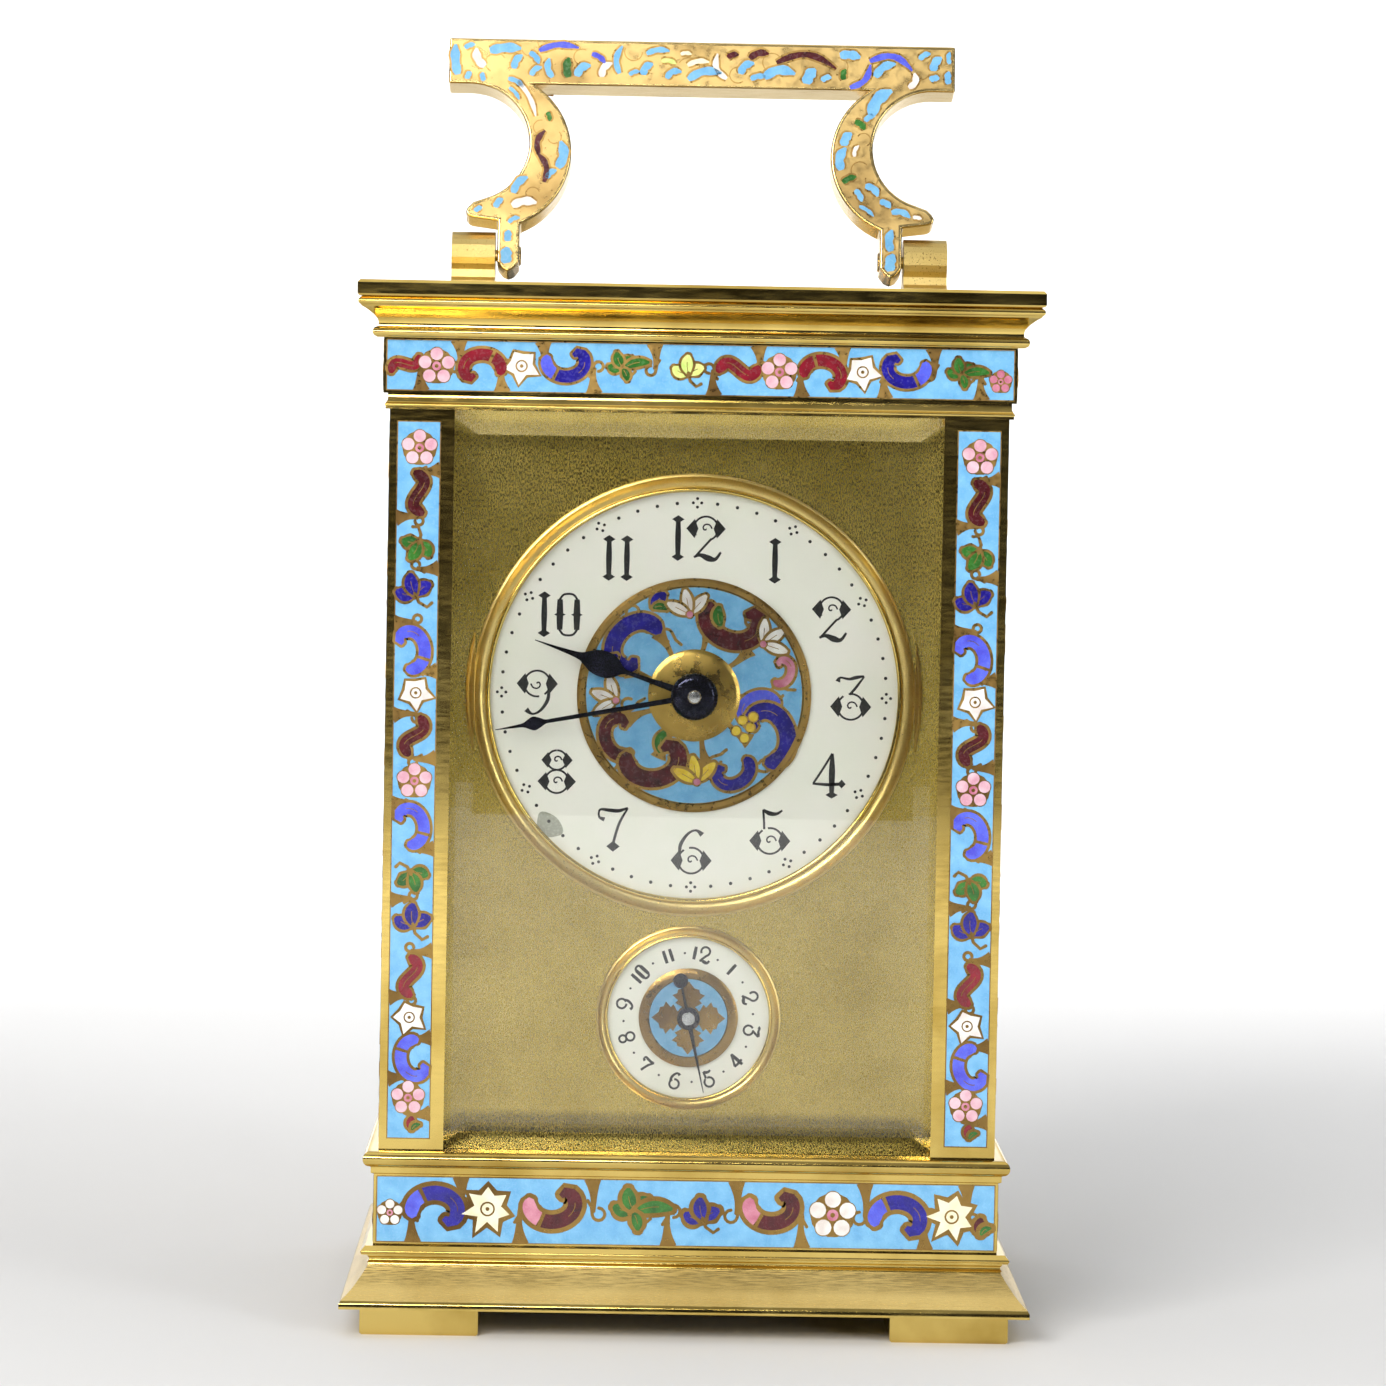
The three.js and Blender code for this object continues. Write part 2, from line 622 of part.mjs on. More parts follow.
function addHands() {
  const hour = [
    [1.5, 0.55], [9, 0.3], [10.6, 0.55], [11.3, 1.15], [12.4, 1.7], [13.7, 1.85], [15, 1.6],
    [16.2, 0.95], [17.2, 0.5], [20, 0.24], [23.7, 0.08],
  ];
  const hourBlank = handBlank(hour, 3, HAND_BORE.hour);
  add("hour_hand", pointHand(hourBlank, HOUR_ANGLE, HAND_Y.hour, DIAL_Z), MATERIALS.blued);

  const minute = [
    [1.2, 0.4], [19.9, 0.28], [21.2, 0.32], [22.8, 1], [24.2, 0.32], [25.4, 0.2], [28.3, 0.07],
  ];
  const minuteBlank = handBlank(minute, 2.6, HAND_BORE.minute);
  const blade = pointHand(minuteBlank, MINUTE_ANGLE, HAND_Y.minute, DIAL_Z);
  const collet = [
    [HAND_BORE.minute, -30.4], [3.3, -30.4], [3.3, -31.1], [2.7, -31.7], [1.9, -31.5],
    [HAND_BORE.minute, -31.5],
  ];
  add("minute_hand", join(blade, ringY(collet, DIAL_Z, 16)), MATERIALS.blued);

  const needle = [[-4.6, 0.14], [0.8, 0.3], [10.7, 0.07]];
  const tail = alongY(shapeOf(circle(1.1, 16, -5.6, 0)), -HAND_THICK / 2, HAND_THICK / 2);
  const alarm = join(handBlank(needle, 1.6, HAND_BORE.alarm), tail);
  add("alarm_hand", pointHand(alarm, ALARM_ANGLE, HAND_Y.alarm, S[1]), MATERIALS.blued);
}

// ---------------------------------------------------------------- movement frame

const ARBOR = 0.8; // radius of a train arbor

// The gong is a flat steel coil round the winding squares, held by a block on the back plate.
const GONG = {
  x: 0, z: 66.5, y: 19, r0: 25.6, r1: 29.9, from: 252 * DEG, turns: 1.8, steps: 54, wire: 0.7,
};

function gongPath() {
  return range(GONG.steps + 1).map((i) => {
    const t = i / GONG.steps;
    const angle = GONG.from + t * GONG.turns * 2 * Math.PI;
    const [x, z] = polar(GONG.r0 + (GONG.r1 - GONG.r0) * t, angle);
    return new THREE.Vector3(GONG.x + x, GONG.y, GONG.z + z);
  });
}

function gongBlock() {
  const { x, z } = gongPath().pop();
  const blank = rect(x - 1.8, x + 1.6, z - 2.6, z + 2.6);
  return cut(
    alongY(shapeOf(blank), BACK_PLATE_Y[1] - 0.5, GONG.y + 1.8),
    alongY(shapeOf(rect(x - 1.05, x + 1, z - 1, z + 3)), GONG.y - 1, GONG.y + 1),
  );
}

function addPlates() {
  const across = [I, T, K].map((at) => circle(HOLE.pivot, 10, ...at));
  const wide = [C, S, B, A].map((at) => circle(HOLE.wide, 10, ...at));
  const outline = rect(-PLATE.halfX, PLATE.halfX, PLATE.z0, PLATE.z1);
  const holes = PILLAR_AT.map(([, x, z]) => circle(HOLE.pillar, 10, x, z));
  const front = alongY(shapeOf(outline, [...across, ...wide, ...holes]), ...FRONT_PLATE_Y);
  const stud = ([x, z], r) => rodY(r, STUD.front, FRONT_PLATE_Y[0] + 0.5, x, z, 12);
  add("front_plate", join(front, stud(M, STUD.minute), stud(IDLER, STUD.idler)), MATERIALS.satin);

  const hammerHole = circle(HOLE.pivot, 10, ...HAMMER.at);
  const back = shapeOf(outline, [...across, ...wide, ...holes, hammerHole]);
  add("back_plate", join(alongY(back, ...BACK_PLATE_Y), gongBlock()), MATERIALS.satin);

  const [f0, f1] = FRONT_PLATE_Y;
  const [b0, b1] = BACK_PLATE_Y;
  for (const [name, x, z] of PILLAR_AT) {
    const post = turnedY(
      [
        [0, f0 - 1], [2, f0 - 1], [2, f0 - 0.05], [1.2, f0 - 0.05], [1.2, f1 + 0.05], [2.6, f1 + 0.05],
        [2.6, b0 - 0.05], [1.2, b0 - 0.05], [1.2, b1 + 0.6], [0, b1 + 0.6],
      ],
      10,
      x,
      z,
    );
    add(`plate_pillar_${name}`, post, MATERIALS.brass);
  }
}

// ---------------------------------------------------------------- going train

const PHASE_C = 0;
const phases = (() => {
  const p = TEETH.pinion;
  const found = { centrePinion: PHASE_C };
  found.intermediate = meshPhase(PHASE_C, p, TEETH.intermediate, TO.intermediate);
  found.barrel = meshPhase(found.intermediate, p, TEETH.barrel, TO.barrel);
  found.third = meshPhase(PHASE_C, TEETH.centre, p, TO.third);
  found.contrate = meshPhase(found.third, TEETH.third, p, TO.contrate);
  found.minute = meshPhase(PHASE_C, TEETH.cannon, TEETH.minute, TO.minute);
  found.hour = meshPhase(found.minute, TEETH.minutePinion, TEETH.hour, TO.minute + Math.PI);
  found.idler = meshPhase(found.hour, TEETH.hour, TEETH.idler, TO.down);
  found.alarm = meshPhase(found.idler, TEETH.idler, TEETH.alarm, TO.down);
  return found;
})();

const PLATES_SPAN = [FRONT_PLATE_Y[0] + 0.2, BACK_PLATE_Y[1] - 0.2];

// Where each wheel and pinion lies along Y, front face first.
const AT_Y = {
  barrelWheel: [1, 2.5],
  alarmBarrelWheel: [1, 2.2],
  ratchet: [8.6, 9.8],
  intermediateWheel: [5, 6],
  intermediatePinion: [0.4, 3.2],
  centreWheel: [-17, -16],
  centrePinion: [4.4, 6.6],
  thirdWheel: [-12, -11],
  thirdPinion: [-17.4, -15.4],
  contratePinion: [-13, -10],
  cannonPinion: [-22.2, -21.2],
  minutePinion: [-24.3, -22],
  hourWheel: [-24.2, -23.4],
};
const BARREL = { bore: 2.2, back: 1.2, going: { r: 15.2, front: -16 }, alarm: { r: 9, front: -10 } };
const WINDING = { r: 2.1, pivot: 1, body: [-17.6, 11.4], pivotEnd: 16, squareEnd: 24 };
const SQUARE_START = 15; // where the key and setting squares begin, behind the back plate
const SETTING_SQUARE_END = 22;

// A square end for a key, on the arbor at (x, z).
function keySquare([x, z], half, end) {
  return alongY(shapeOf(rect(x - half, x + half, z - half, z + half)), SQUARE_START, end);
}

function barrelDrum([x, z], { r, front }, sides) {
  const { bore, back } = BARREL;
  const wall = [[bore, front], [r, front], [r, back], [bore, back], [bore, front]];
  return turned(wall, sides).translate(x, 0, z);
}

function addBarrels() {
  const plain = { arms: 0, bore: BARREL.bore };
  const great = wheel(B, TEETH.barrel, MODULE.barrel, phases.barrel, ...AT_Y.barrelWheel, plain);
  add("going_barrel", join(great, barrelDrum(B, BARREL.going, 24)), MATERIALS.satin);

  const alarm = wheel(A, TEETH.alarmBarrel, MODULE.alarmBarrel, 0, ...AT_Y.alarmBarrelWheel, plain);
  add("alarm_barrel", join(alarm, barrelDrum(A, BARREL.alarm, 20)), MATERIALS.satin);

  const { r, pivot, body, pivotEnd, squareEnd } = WINDING;
  for (const [name, at] of [["going_winding_arbor", B], ["alarm_winding_arbor", A]]) {
    const arbor = turnedY(
      [
        [0, PLATES_SPAN[0]], [pivot, PLATES_SPAN[0]], [pivot, body[0]], [r, body[0]], [r, body[1]],
        [pivot, body[1]], [pivot, pivotEnd], [0, pivotEnd],
      ],
      12,
      ...at,
    );
    const ratchet = wheel(at, TEETH.ratchet, MODULE.ratchet, 0, ...AT_Y.ratchet, { arms: 0 });
    add(name, join(arbor, keySquare(at, 1.2, squareEnd), ratchet), MATERIALS.steel);
  }
}

// The centre and alarm setting arbors, which run from the dials out through the back plate.
const SLIM_ARBOR = { r: 0.9, end: 16 };

// An arbor between the plates with its wheel and pinion in one piece.
function trainArbor(at, wheelMade, pinionMade) {
  return join(rodY(ARBOR, ...PLATES_SPAN, ...at), wheelMade, pinionMade);
}

function addTrain() {
  const p = TEETH.pinion;
  const intermediate = trainArbor(
    I,
    wheel(I, TEETH.intermediate, MODULE.intermediate, phases.intermediate, ...AT_Y.intermediateWheel),
    pinion(I, p, MODULE.barrel, phases.intermediate, ...AT_Y.intermediatePinion),
  );
  add("intermediate_wheel", intermediate, MATERIALS.satin);

  const centre = join(
    rodY(SLIM_ARBOR.r, -31.9, SLIM_ARBOR.end, ...C, 16),
    rodY(1.4, -31.4, -21.6, ...C, 16),
    pinion(C, TEETH.cannon, MODULE.cannon, PHASE_C, ...AT_Y.cannonPinion),
    wheel(C, TEETH.centre, MODULE.centre, PHASE_C, ...AT_Y.centreWheel),
    pinion(C, p, MODULE.intermediate, PHASE_C, ...AT_Y.centrePinion),
    keySquare(C, 1.1, SETTING_SQUARE_END),
  );
  add("centre_wheel", centre, MATERIALS.satin);

  const third = trainArbor(
    T,
    wheel(T, TEETH.third, MODULE.third, phases.third, ...AT_Y.thirdWheel),
    pinion(T, p, MODULE.centre, phases.third, ...AT_Y.thirdPinion),
  );
  add("third_wheel", third, MATERIALS.satin);
}

const CROWN = { outer: 8.4, inner: 7.4, disc: [-4, -3.2], rim: -1.2, tip: -0.2, half: 0.15 };
const CROWN_PITCH = (2 * Math.PI * (CROWN.outer + CROWN.inner)) / 2 / TEETH.contrate;
const SCAPE_PINION_R = (TEETH.pinion * CROWN_PITCH) / 2 / Math.PI;
const SCAPE_AT = [K[0], -0.55 + SCAPE_PINION_R];
const CROWN_PHASE = 90 * DEG; // a tooth stands at the top, under the escape pinion

function addContrate() {
  const [x, z] = K;
  const holes = crossings(2.4, CROWN.inner - 0.4, 4, 0).map((hole) => shifted(hole, K));
  const disc = alongY(shapeOf(circle(CROWN.outer - 0.1, 24, x, z), holes), ...CROWN.disc);
  const rim = turned(
    [
      [CROWN.inner, CROWN.disc[0]], [CROWN.outer, CROWN.disc[0]],
      [CROWN.outer, CROWN.rim], [CROWN.inner, CROWN.rim], [CROWN.inner, CROWN.disc[0]],
    ],
    24,
  ).translate(x, 0, z);
  const teeth = range(TEETH.contrate).map((k) => {
    const tooth = alongY(
      shapeOf(rect(-CROWN.half, CROWN.half, CROWN.inner + 0.2, CROWN.outer - 0.2)),
      CROWN.rim - 0.3,
      CROWN.tip,
    );
    const turn = CROWN_PHASE - 90 * DEG + (k * 2 * Math.PI) / TEETH.contrate;
    return solidOf(tooth.rotateY(-turn).translate(x, 0, z));
  });
  const leaves = pinion(K, TEETH.pinion, MODULE.third, phases.contrate, ...AT_Y.contratePinion);
  const crowned = teeth.reduce((a, b) => a.add(b), solidOf(join(disc, rim)));
  const arbor = join(rodY(ARBOR, ...PLATES_SPAN, ...K), leaves);
  add("contrate_wheel", geometryOf(crowned.add(solidOf(arbor))), MATERIALS.satin);
}

// ---------------------------------------------------------------- platform escapement

const PLATFORM = { halfX: 17, y0: -19, y1: 13, z0: PLATE.z1 + 0.05, z1: 118 };
const LEVER_AT = [K[0] + 6, SCAPE_AT[1] - 4];
const BALANCE_AT = [K[0] + 12, -6.5];
const STAFF = { r: 0.45, bore: 0.6 }; // the lever's and the balance's staffs, and their holes
const COCK = { back: 9.2, deep: 5, half: 2.5, armLow: 122.4, top: 123.4 };
const INDEX = { collar: 2.3, bore: 0.7, reach: 9.4, z: [123.5, 123.9] };

// The platform's own pieces, by height.
const AT_Z = {
  scape: [118.6, 119.1],
  scapeArborTop: 120.2,
  leverStaffTop: 120,
  balance: [120.4, 121.3],
  balanceStaffTop: 123.3,
};

function addPlatform() {
  const middle = K[0] + 6;
  const { halfX, y0, y1, z0, z1 } = PLATFORM;
  const holes = [
    circle(0.95, 16, ...SCAPE_AT),
    circle(STAFF.bore, 12, ...LEVER_AT),
    circle(STAFF.bore, 12, ...BALANCE_AT),
  ];
  const deck = alongZ(shapeOf(rect(middle - halfX, middle + halfX, y0, y1), holes), z0, z1);
  add("platform", deck, MATERIALS.gilt);
}

// The cock stands on the platform behind the balance and reaches over it. The index turns on it.
function addCock() {
  const [x, y] = BALANCE_AT;
  const from = y + COCK.back;
  const to = from + COCK.deep;
  const foot = shapeOf(rect(x - COCK.half, x + COCK.half, from, to));
  const armOutline = [
    [x - COCK.half, to], [x - 1.6, y],
    ...arc(x, y, 2, Math.PI, 2 * Math.PI, 8),
    [x + 1.6, y], [x + COCK.half, to],
  ];
  const arm = alongZ(shapeOf(armOutline, [circle(STAFF.bore, 12, x, y)]), COCK.armLow, COCK.top);
  add("balance_cock", join(alongZ(foot, PLATFORM.z1, COCK.top), arm), MATERIALS.gilt);

  const tip = y + INDEX.reach;
  const pointer = [[x - 0.4, y + 2], [x - 0.25, tip], [x + 0.25, tip], [x + 0.4, y + 2]];
  const collar = shapeOf(circle(INDEX.collar, 20, x, y), [circle(INDEX.bore, 12, x, y)]);
  const index = join(alongZ(shapeOf(pointer), ...INDEX.z), alongZ(collar, ...INDEX.z));
  add("regulator_index", index, MATERIALS.steel);
}

const SCAPE = { teeth: 15, root: 3.1, tip: 4, arbor: 0.6 };
const BALANCE = { r: 7.2, rimInner: 6.1, hub: 1.2 };

function addEscapeWheel() {
  const leafPitch = (2 * Math.PI) / TEETH.pinion;
  const module = CROWN_PITCH / Math.PI;
  // A gap between two leaves faces the contrate wheel's tooth.
  const leafPhase = -90 * DEG + leafPitch / 2;
  const star = pinionLeaves(TEETH.pinion, SCAPE_PINION_R, module, leafPhase);
  const low = K[1] + CROWN.inner - 0.5;
  const high = K[1] + CROWN.outer + 0.5;
  const leaves = alongZ(shapeOf(shifted(star, SCAPE_AT)), low, high);
  const arbor = alongZ(shapeOf(circle(SCAPE.arbor, 12, ...SCAPE_AT)), low, AT_Z.scapeArborTop);
  const { teeth, root, tip } = SCAPE;
  const fangs = range(teeth).flatMap((k) => {
    const at = (k * 2 * Math.PI) / teeth;
    return [polar(root, at), polar(tip, at + 0.16), polar(tip, at + 0.24), polar(root, at + 0.26)];
  });
  const rim = alongZ(shapeOf(shifted(fangs, SCAPE_AT)), ...AT_Z.scape);
  add("escape_wheel", join(leaves, arbor, rim), MATERIALS.gilt);
}

function addLever() {
  const [x, y] = LEVER_AT;
  const toBalance = Math.atan2(BALANCE_AT[1] - y, BALANCE_AT[0] - x);
  const fork = shapeOf([
    [-1.6, -0.5], [-1.6, 0.5], [0, 0.7], [3.4, 0.3],
    [3.9, 0.6], [3.9, -0.6], [3.4, -0.3], [0, -0.7],
  ]);
  const lever = join(
    alongZ(fork, ...AT_Z.scape).rotateZ(toBalance).translate(x, y, 0),
    alongZ(shapeOf(circle(STAFF.r, 10, x, y)), PLATFORM.z0, AT_Z.leverStaffTop),
  );
  add("pallet_lever", lever, MATERIALS.steel);
}

function addBalance() {
  const [x, y] = BALANCE_AT;
  const rim = shapeOf(circle(BALANCE.r, 40), crossings(BALANCE.hub, BALANCE.rimInner, 2, 0));
  const balance = join(
    alongZ(rim, ...AT_Z.balance).translate(x, y, 0),
    alongZ(shapeOf(circle(STAFF.r, 10, x, y)), PLATFORM.z0, AT_Z.balanceStaffTop),
  );
  add("balance_wheel", balance, MATERIALS.gilt);
}

// ---------------------------------------------------------------- motion work and alarm work

function addMotionWork() {
  const bore = STUD.minute + 0.1;
  const minute = join(
    wheel(M, TEETH.minute, MODULE.cannon, phases.minute, ...AT_Y.cannonPinion, { bore }),
    pinion(M, TEETH.minutePinion, MODULE.hour, phases.minute, ...AT_Y.minutePinion, bore),
  );
  add("minute_wheel", minute, MATERIALS.satin);

  const pipe = { inner: 1.55, outer: 2.2, front: -29.6, back: -23.6 };
  const { inner, outer, front, back } = pipe;
  const hour = join(
    wheel(C, TEETH.hour, MODULE.hour, phases.hour, ...AT_Y.hourWheel, { hub: 3.2, bore: inner }),
    ringY([[inner, front], [outer, front], [outer, back], [inner, back]], C[1], 20),
  );
  add("hour_wheel", hour, MATERIALS.satin);

  const onStud = { bore: STUD.idler + 0.1 };
  const idler = wheel(IDLER, TEETH.idler, MODULE.hour, phases.idler, ...AT_Y.hourWheel, onStud);
  add("alarm_idler_wheel", idler, MATERIALS.satin);

  const onArbor = { bore: SLIM_ARBOR.r + 0.15 };
  const alarm = wheel(S, TEETH.alarm, MODULE.hour, phases.alarm, ...AT_Y.hourWheel, onArbor);
  add("alarm_wheel", alarm, MATERIALS.satin);
}

function addAlarmWork() {
  const setting = join(
    rodY(SLIM_ARBOR.r, -28.75, SLIM_ARBOR.end, ...S, 16),
    keySquare(S, 1.1, SETTING_SQUARE_END),
    rodY(2, -16.5, -15.5, ...S, 16),
  );
  add("alarm_setting_arbor", setting, MATERIALS.steel);

  const wire = new THREE.ExtrudeGeometry(shapeOf(circle(GONG.wire, 4)), {
    steps: GONG.steps,
    bevelEnabled: false,
    extrudePath: new THREE.CatmullRomCurve3(gongPath()),
  });
  add("gong", wire, MATERIALS.spring);

  const { at, length, angle, armY, head, headY } = HAMMER;
  const arm = alongY(shapeOf(rect(-0.8, 0.8, -length, 0)), ...armY);
  const half = head.long / 2;
  const tip = turned([[0, -half], [head.r, -half], [head.r, half], [0, half]], 14);
  tip.translate(0, headY, -length);
  const pivot = rodY(ARBOR, BACK_PLATE_Y[0] - 1, armY[1] + 0.6, 0, 0, 10);
  const hub = rodY(1.8, BACK_PLATE_Y[1] + 0.3, armY[1], 0, 0, 14);
  const hammer = join(arm, tip, pivot, hub);
  hammer.rotateY(angle).translate(at[0], 0, at[1]);
  add("alarm_hammer", hammer, MATERIALS.steel);
}

addBase();
addFeet();
addPillars();
addTop();
addGlazing();
addDoor();
addHandle();
addDials();
addHands();
addPlates();
addBarrels();
addTrain();
addContrate();
addPlatform();
addCock();
addEscapeWheel();
addLever();
addBalance();
addMotionWork();
addAlarmWork();

export default clock;
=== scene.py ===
"""The looks of a carriage clock with an enamelled case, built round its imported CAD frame.

Shapes are worked out in millimetres, in the frame's axes: +Z up, and the dial faces -Y.
"""

import json
import math

import bmesh
import bpy
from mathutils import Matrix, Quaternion, Vector

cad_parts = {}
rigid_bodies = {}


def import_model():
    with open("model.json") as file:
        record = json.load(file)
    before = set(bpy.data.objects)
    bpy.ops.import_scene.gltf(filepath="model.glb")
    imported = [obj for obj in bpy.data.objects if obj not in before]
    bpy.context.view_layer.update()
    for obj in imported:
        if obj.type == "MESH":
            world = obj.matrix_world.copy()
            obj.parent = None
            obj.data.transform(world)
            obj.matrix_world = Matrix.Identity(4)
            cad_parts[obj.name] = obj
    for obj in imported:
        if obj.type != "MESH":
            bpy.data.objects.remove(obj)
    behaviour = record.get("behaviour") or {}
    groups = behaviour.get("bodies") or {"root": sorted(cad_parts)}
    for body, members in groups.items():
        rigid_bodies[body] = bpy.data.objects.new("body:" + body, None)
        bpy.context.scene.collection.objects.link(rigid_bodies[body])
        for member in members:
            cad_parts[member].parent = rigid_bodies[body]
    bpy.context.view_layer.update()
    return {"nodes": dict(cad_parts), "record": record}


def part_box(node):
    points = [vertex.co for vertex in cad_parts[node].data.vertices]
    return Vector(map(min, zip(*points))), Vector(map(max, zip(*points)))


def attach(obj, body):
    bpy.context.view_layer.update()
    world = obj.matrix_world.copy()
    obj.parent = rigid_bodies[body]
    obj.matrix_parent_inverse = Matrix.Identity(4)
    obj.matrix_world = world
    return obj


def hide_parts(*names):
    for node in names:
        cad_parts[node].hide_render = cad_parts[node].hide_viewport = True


MM = 0.001
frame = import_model()


def box_mm(node):
    """A node's lowest and highest corner at rest, in millimetres."""
    low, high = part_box(node)
    return low / MM, high / MM


# ------------------------------------------------------------ driving places, read from the frame

pillar_low, pillar_high = box_mm("pillar_front_left")
dial_low, dial_high = box_mm("main_dial")
alarm_low, alarm_high = box_mm("alarm_dial")

BODY_X = -pillar_low.x
BODY_Y = -pillar_low.y
CASE_TOP = box_mm("cornice")[1].z
FRIEZE_TOP = box_mm("top_frame")[1].z
PILLAR_TOP = pillar_high.z
BASE_TOP = pillar_low.z
DIAL_Z = (dial_low.z + dial_high.z) / 2
ALARM_Z = (alarm_low.z + alarm_high.z) / 2
FACE_Y = dial_low.y
PIVOT_Z = CASE_TOP + 4.6
HANDLE_LEAN = math.radians(12)
HOUR_ANGLE = 288.5
MINUTE_ANGLE = 259.5
ALARM_ANGLE = 167.6
ALARM_TILT = 11.0
BACK_PLATE_FACE = 14.0
STAGE = bpy.context.scene.collection.objects


# ------------------------------------------------------------ mesh building


def steps(n):
    return [i / n for i in range(n + 1)]


def arc(x, y, r, start, end, count):
    """Points on an arc. Angles are in degrees."""
    turns = [math.radians(start + (end - start) * i / count) for i in range(count + 1)]
    return [(x + r * math.cos(a), y + r * math.sin(a)) for a in turns]


def circle(r, sides, x=0.0, y=0.0):
    return arc(x, y, r, 0, 360 - 360 / sides, sides - 1)


def oblong(u, v):
    """A rectangle about the origin, from half its width and half its height."""
    return [(-u, -v), (u, -v), (u, v), (-u, v)]


def facing_front(x0, y0, z0):
    """Maps (u, v, w) on a wall that faces -Y: u to the right, v up, w out of the wall."""
    return lambda u, v, w: (x0 + u, y0 - w, z0 + v)


def facing_back(x0, y0, z0):
    return lambda u, v, w: (x0 - u, y0 + w, z0 + v)


def facing_side(sign, x0, y0, z0):
    """The same for a wall that faces +X (sign 1) or -X (sign -1)."""
    return lambda u, v, w: (x0 + sign * w, y0 + sign * u, z0 + v)


def facing_up(x0, y0, z0):
    return lambda u, v, w: (x0 + u, y0 + v, z0 + w)


class Builder:
    """Collects closed solids with their materials, and makes them one piece."""

    def __init__(self):
        self.verts = []
        self.faces = []
        self.marks = []
        self.materials = []

    def mark(self, material):
        """The number of a material in this piece."""
        if material not in self.materials:
            self.materials.append(material)
        return self.materials.index(material)

    def add(self, verts, faces, material):
        first = len(self.verts)
        self.verts += verts
        self.faces += [[first + i for i in face] for face in faces]
        self.marks += [self.mark(material)] * len(faces)

    def prism(self, outline, low, high, material, place):
        """A flat outline of (u, v), between two heights above its wall."""
        n = len(outline)
        verts = [place(u, v, h) for h in (low, high) for u, v in outline]
        sides = [[i, (i + 1) % n, n + (i + 1) % n, n + i] for i in range(n)]
        self.add(verts, [list(range(n))[::-1], list(range(n, 2 * n)), *sides], material)

    def ribbon(self, points, widths, low, high, material, place):
        """A stroke along points, with one width or a width at each of them."""
        n = len(points)
        if not isinstance(widths, list):
            widths = [widths] * n
        left, right = edges(points, widths)
        rows = [(side, h) for side, h in ((left, low), (right, low), (right, high), (left, high))]
        verts = [place(side[i][0], side[i][1], h) for side, h in rows for i in range(n)]
        faces = [
            [k * n + i, k * n + i + 1, (k + 1) % 4 * n + i + 1, (k + 1) % 4 * n + i]
            for k in range(4)
            for i in range(n - 1)
        ]
        faces += [[0, n, 2 * n, 3 * n], [n - 1, 4 * n - 1, 3 * n - 1, 2 * n - 1]]
        self.add(verts, faces, material)

    def disc(self, u, v, r, low, high, material, place, sides=14):
        self.prism(circle(r, sides, u, v), low, high, material, place)

    def swept(self, rings, material, closed=True):
        """Joins equal rings of points into a skin: a closed loop of rings, or one with two ends."""
        n, m = len(rings[0]), len(rings)
        verts = [point for ring in rings for point in ring]
        spans = m if closed else m - 1
        faces = [
            [k * n + i, k * n + (i + 1) % n, (k + 1) % m * n + (i + 1) % n, (k + 1) % m * n + i]
            for k in range(spans)
            for i in range(n)
        ]
        if not closed:
            faces += [list(range(n))[::-1], list(range((m - 1) * n, m * n))]
        self.add(verts, faces, material)

    def turn(self, profile, centre, material, sides, axis="Y"):
        """A body of revolution. The profile is [(radius, distance along the axis)]."""
        rings = []
        for k in range(sides):
            a = 2 * math.pi * k / sides
            ring = [spoke(axis, r, math.cos(a), math.sin(a), t) for r, t in profile]
            rings.append([tuple(p + q for p, q in zip(centre, point)) for point in ring])
        self.swept(rings, material)

    def make(self, name, body="case", slot="case_brass", replaces=(), smooth=None, bevel=0.0):
        """Makes the piece. smooth is the angle in degrees under which edges are shaded smooth."""
        mesh = bpy.data.meshes.new(name)
        mesh.from_pydata([Vector(v) * MM for v in self.verts], [], self.faces)
        for material in self.materials:
            mesh.materials.append(material)
        mesh.polygons.foreach_set("material_index", self.marks)
        work = bmesh.new()
        work.from_mesh(mesh)
        bmesh.ops.recalc_face_normals(work, faces=work.faces)
        work.to_mesh(mesh)
        work.free()
        if smooth:
            mesh.shade_smooth()
            mesh.set_sharp_from_angle(angle=math.radians(smooth))
        made = bpy.data.objects.new(name, mesh)
        STAGE.link(made)
        if bevel:
            soften(made, bevel)
        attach(made, body)
        if replaces:
            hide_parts(*replaces)


def spoke(axis, r, c, s, t):
    """A point of a turned body: r from its axis in the direction (c, s), and t along it."""
    return {"X": (t, r * c, r * s), "Y": (r * c, t, r * s), "Z": (r * c, r * s, t)}[axis]


def edges(points, widths):
    """The two edges of a stroke, square to its direction at each point."""
    left, right = [], []
    for i, (x, y) in enumerate(points):
        ahead = points[min(i + 1, len(points) - 1)]
        behind = points[max(i - 1, 0)]
        along = Vector((ahead[0] - behind[0], ahead[1] - behind[1])).normalized()
        half = widths[i] / 2
        left.append((x - along.y * half, y + along.x * half))
        right.append((x + along.y * half, y - along.x * half))
    return left, right


def soften(piece, width):
    """Rounds a piece's sharp edges, as polishing does."""
    rounded = piece.modifiers.new("rounded edges", "BEVEL")
    rounded.width = width * MM
    rounded.segments = 2
    rounded.limit_method = "ANGLE"
    rounded.angle_limit = math.radians(35)
    rounded.harden_normals = True
    for face in piece.data.polygons:
        face.use_smooth = True


def mitred(profile):
    """The moulding round the body whose profile is [(distance outside the body, height)]."""
    corners = ((1, 1), (-1, 1), (-1, -1), (1, -1))
    return [[(sx * (BODY_X + d), sy * (BODY_Y + d), z) for d, z in profile] for sx, sy in corners]


def catmull_rom(p, q, r, s, t):
    """A value between q and r at the share t, with p before them and s after."""
    square = (2 * p - 5 * q + 4 * r - s) * t**2
    cube = (3 * q - p - 3 * r + s) * t**3
    return 0.5 * (2 * q + (r - p) * t + square + cube)


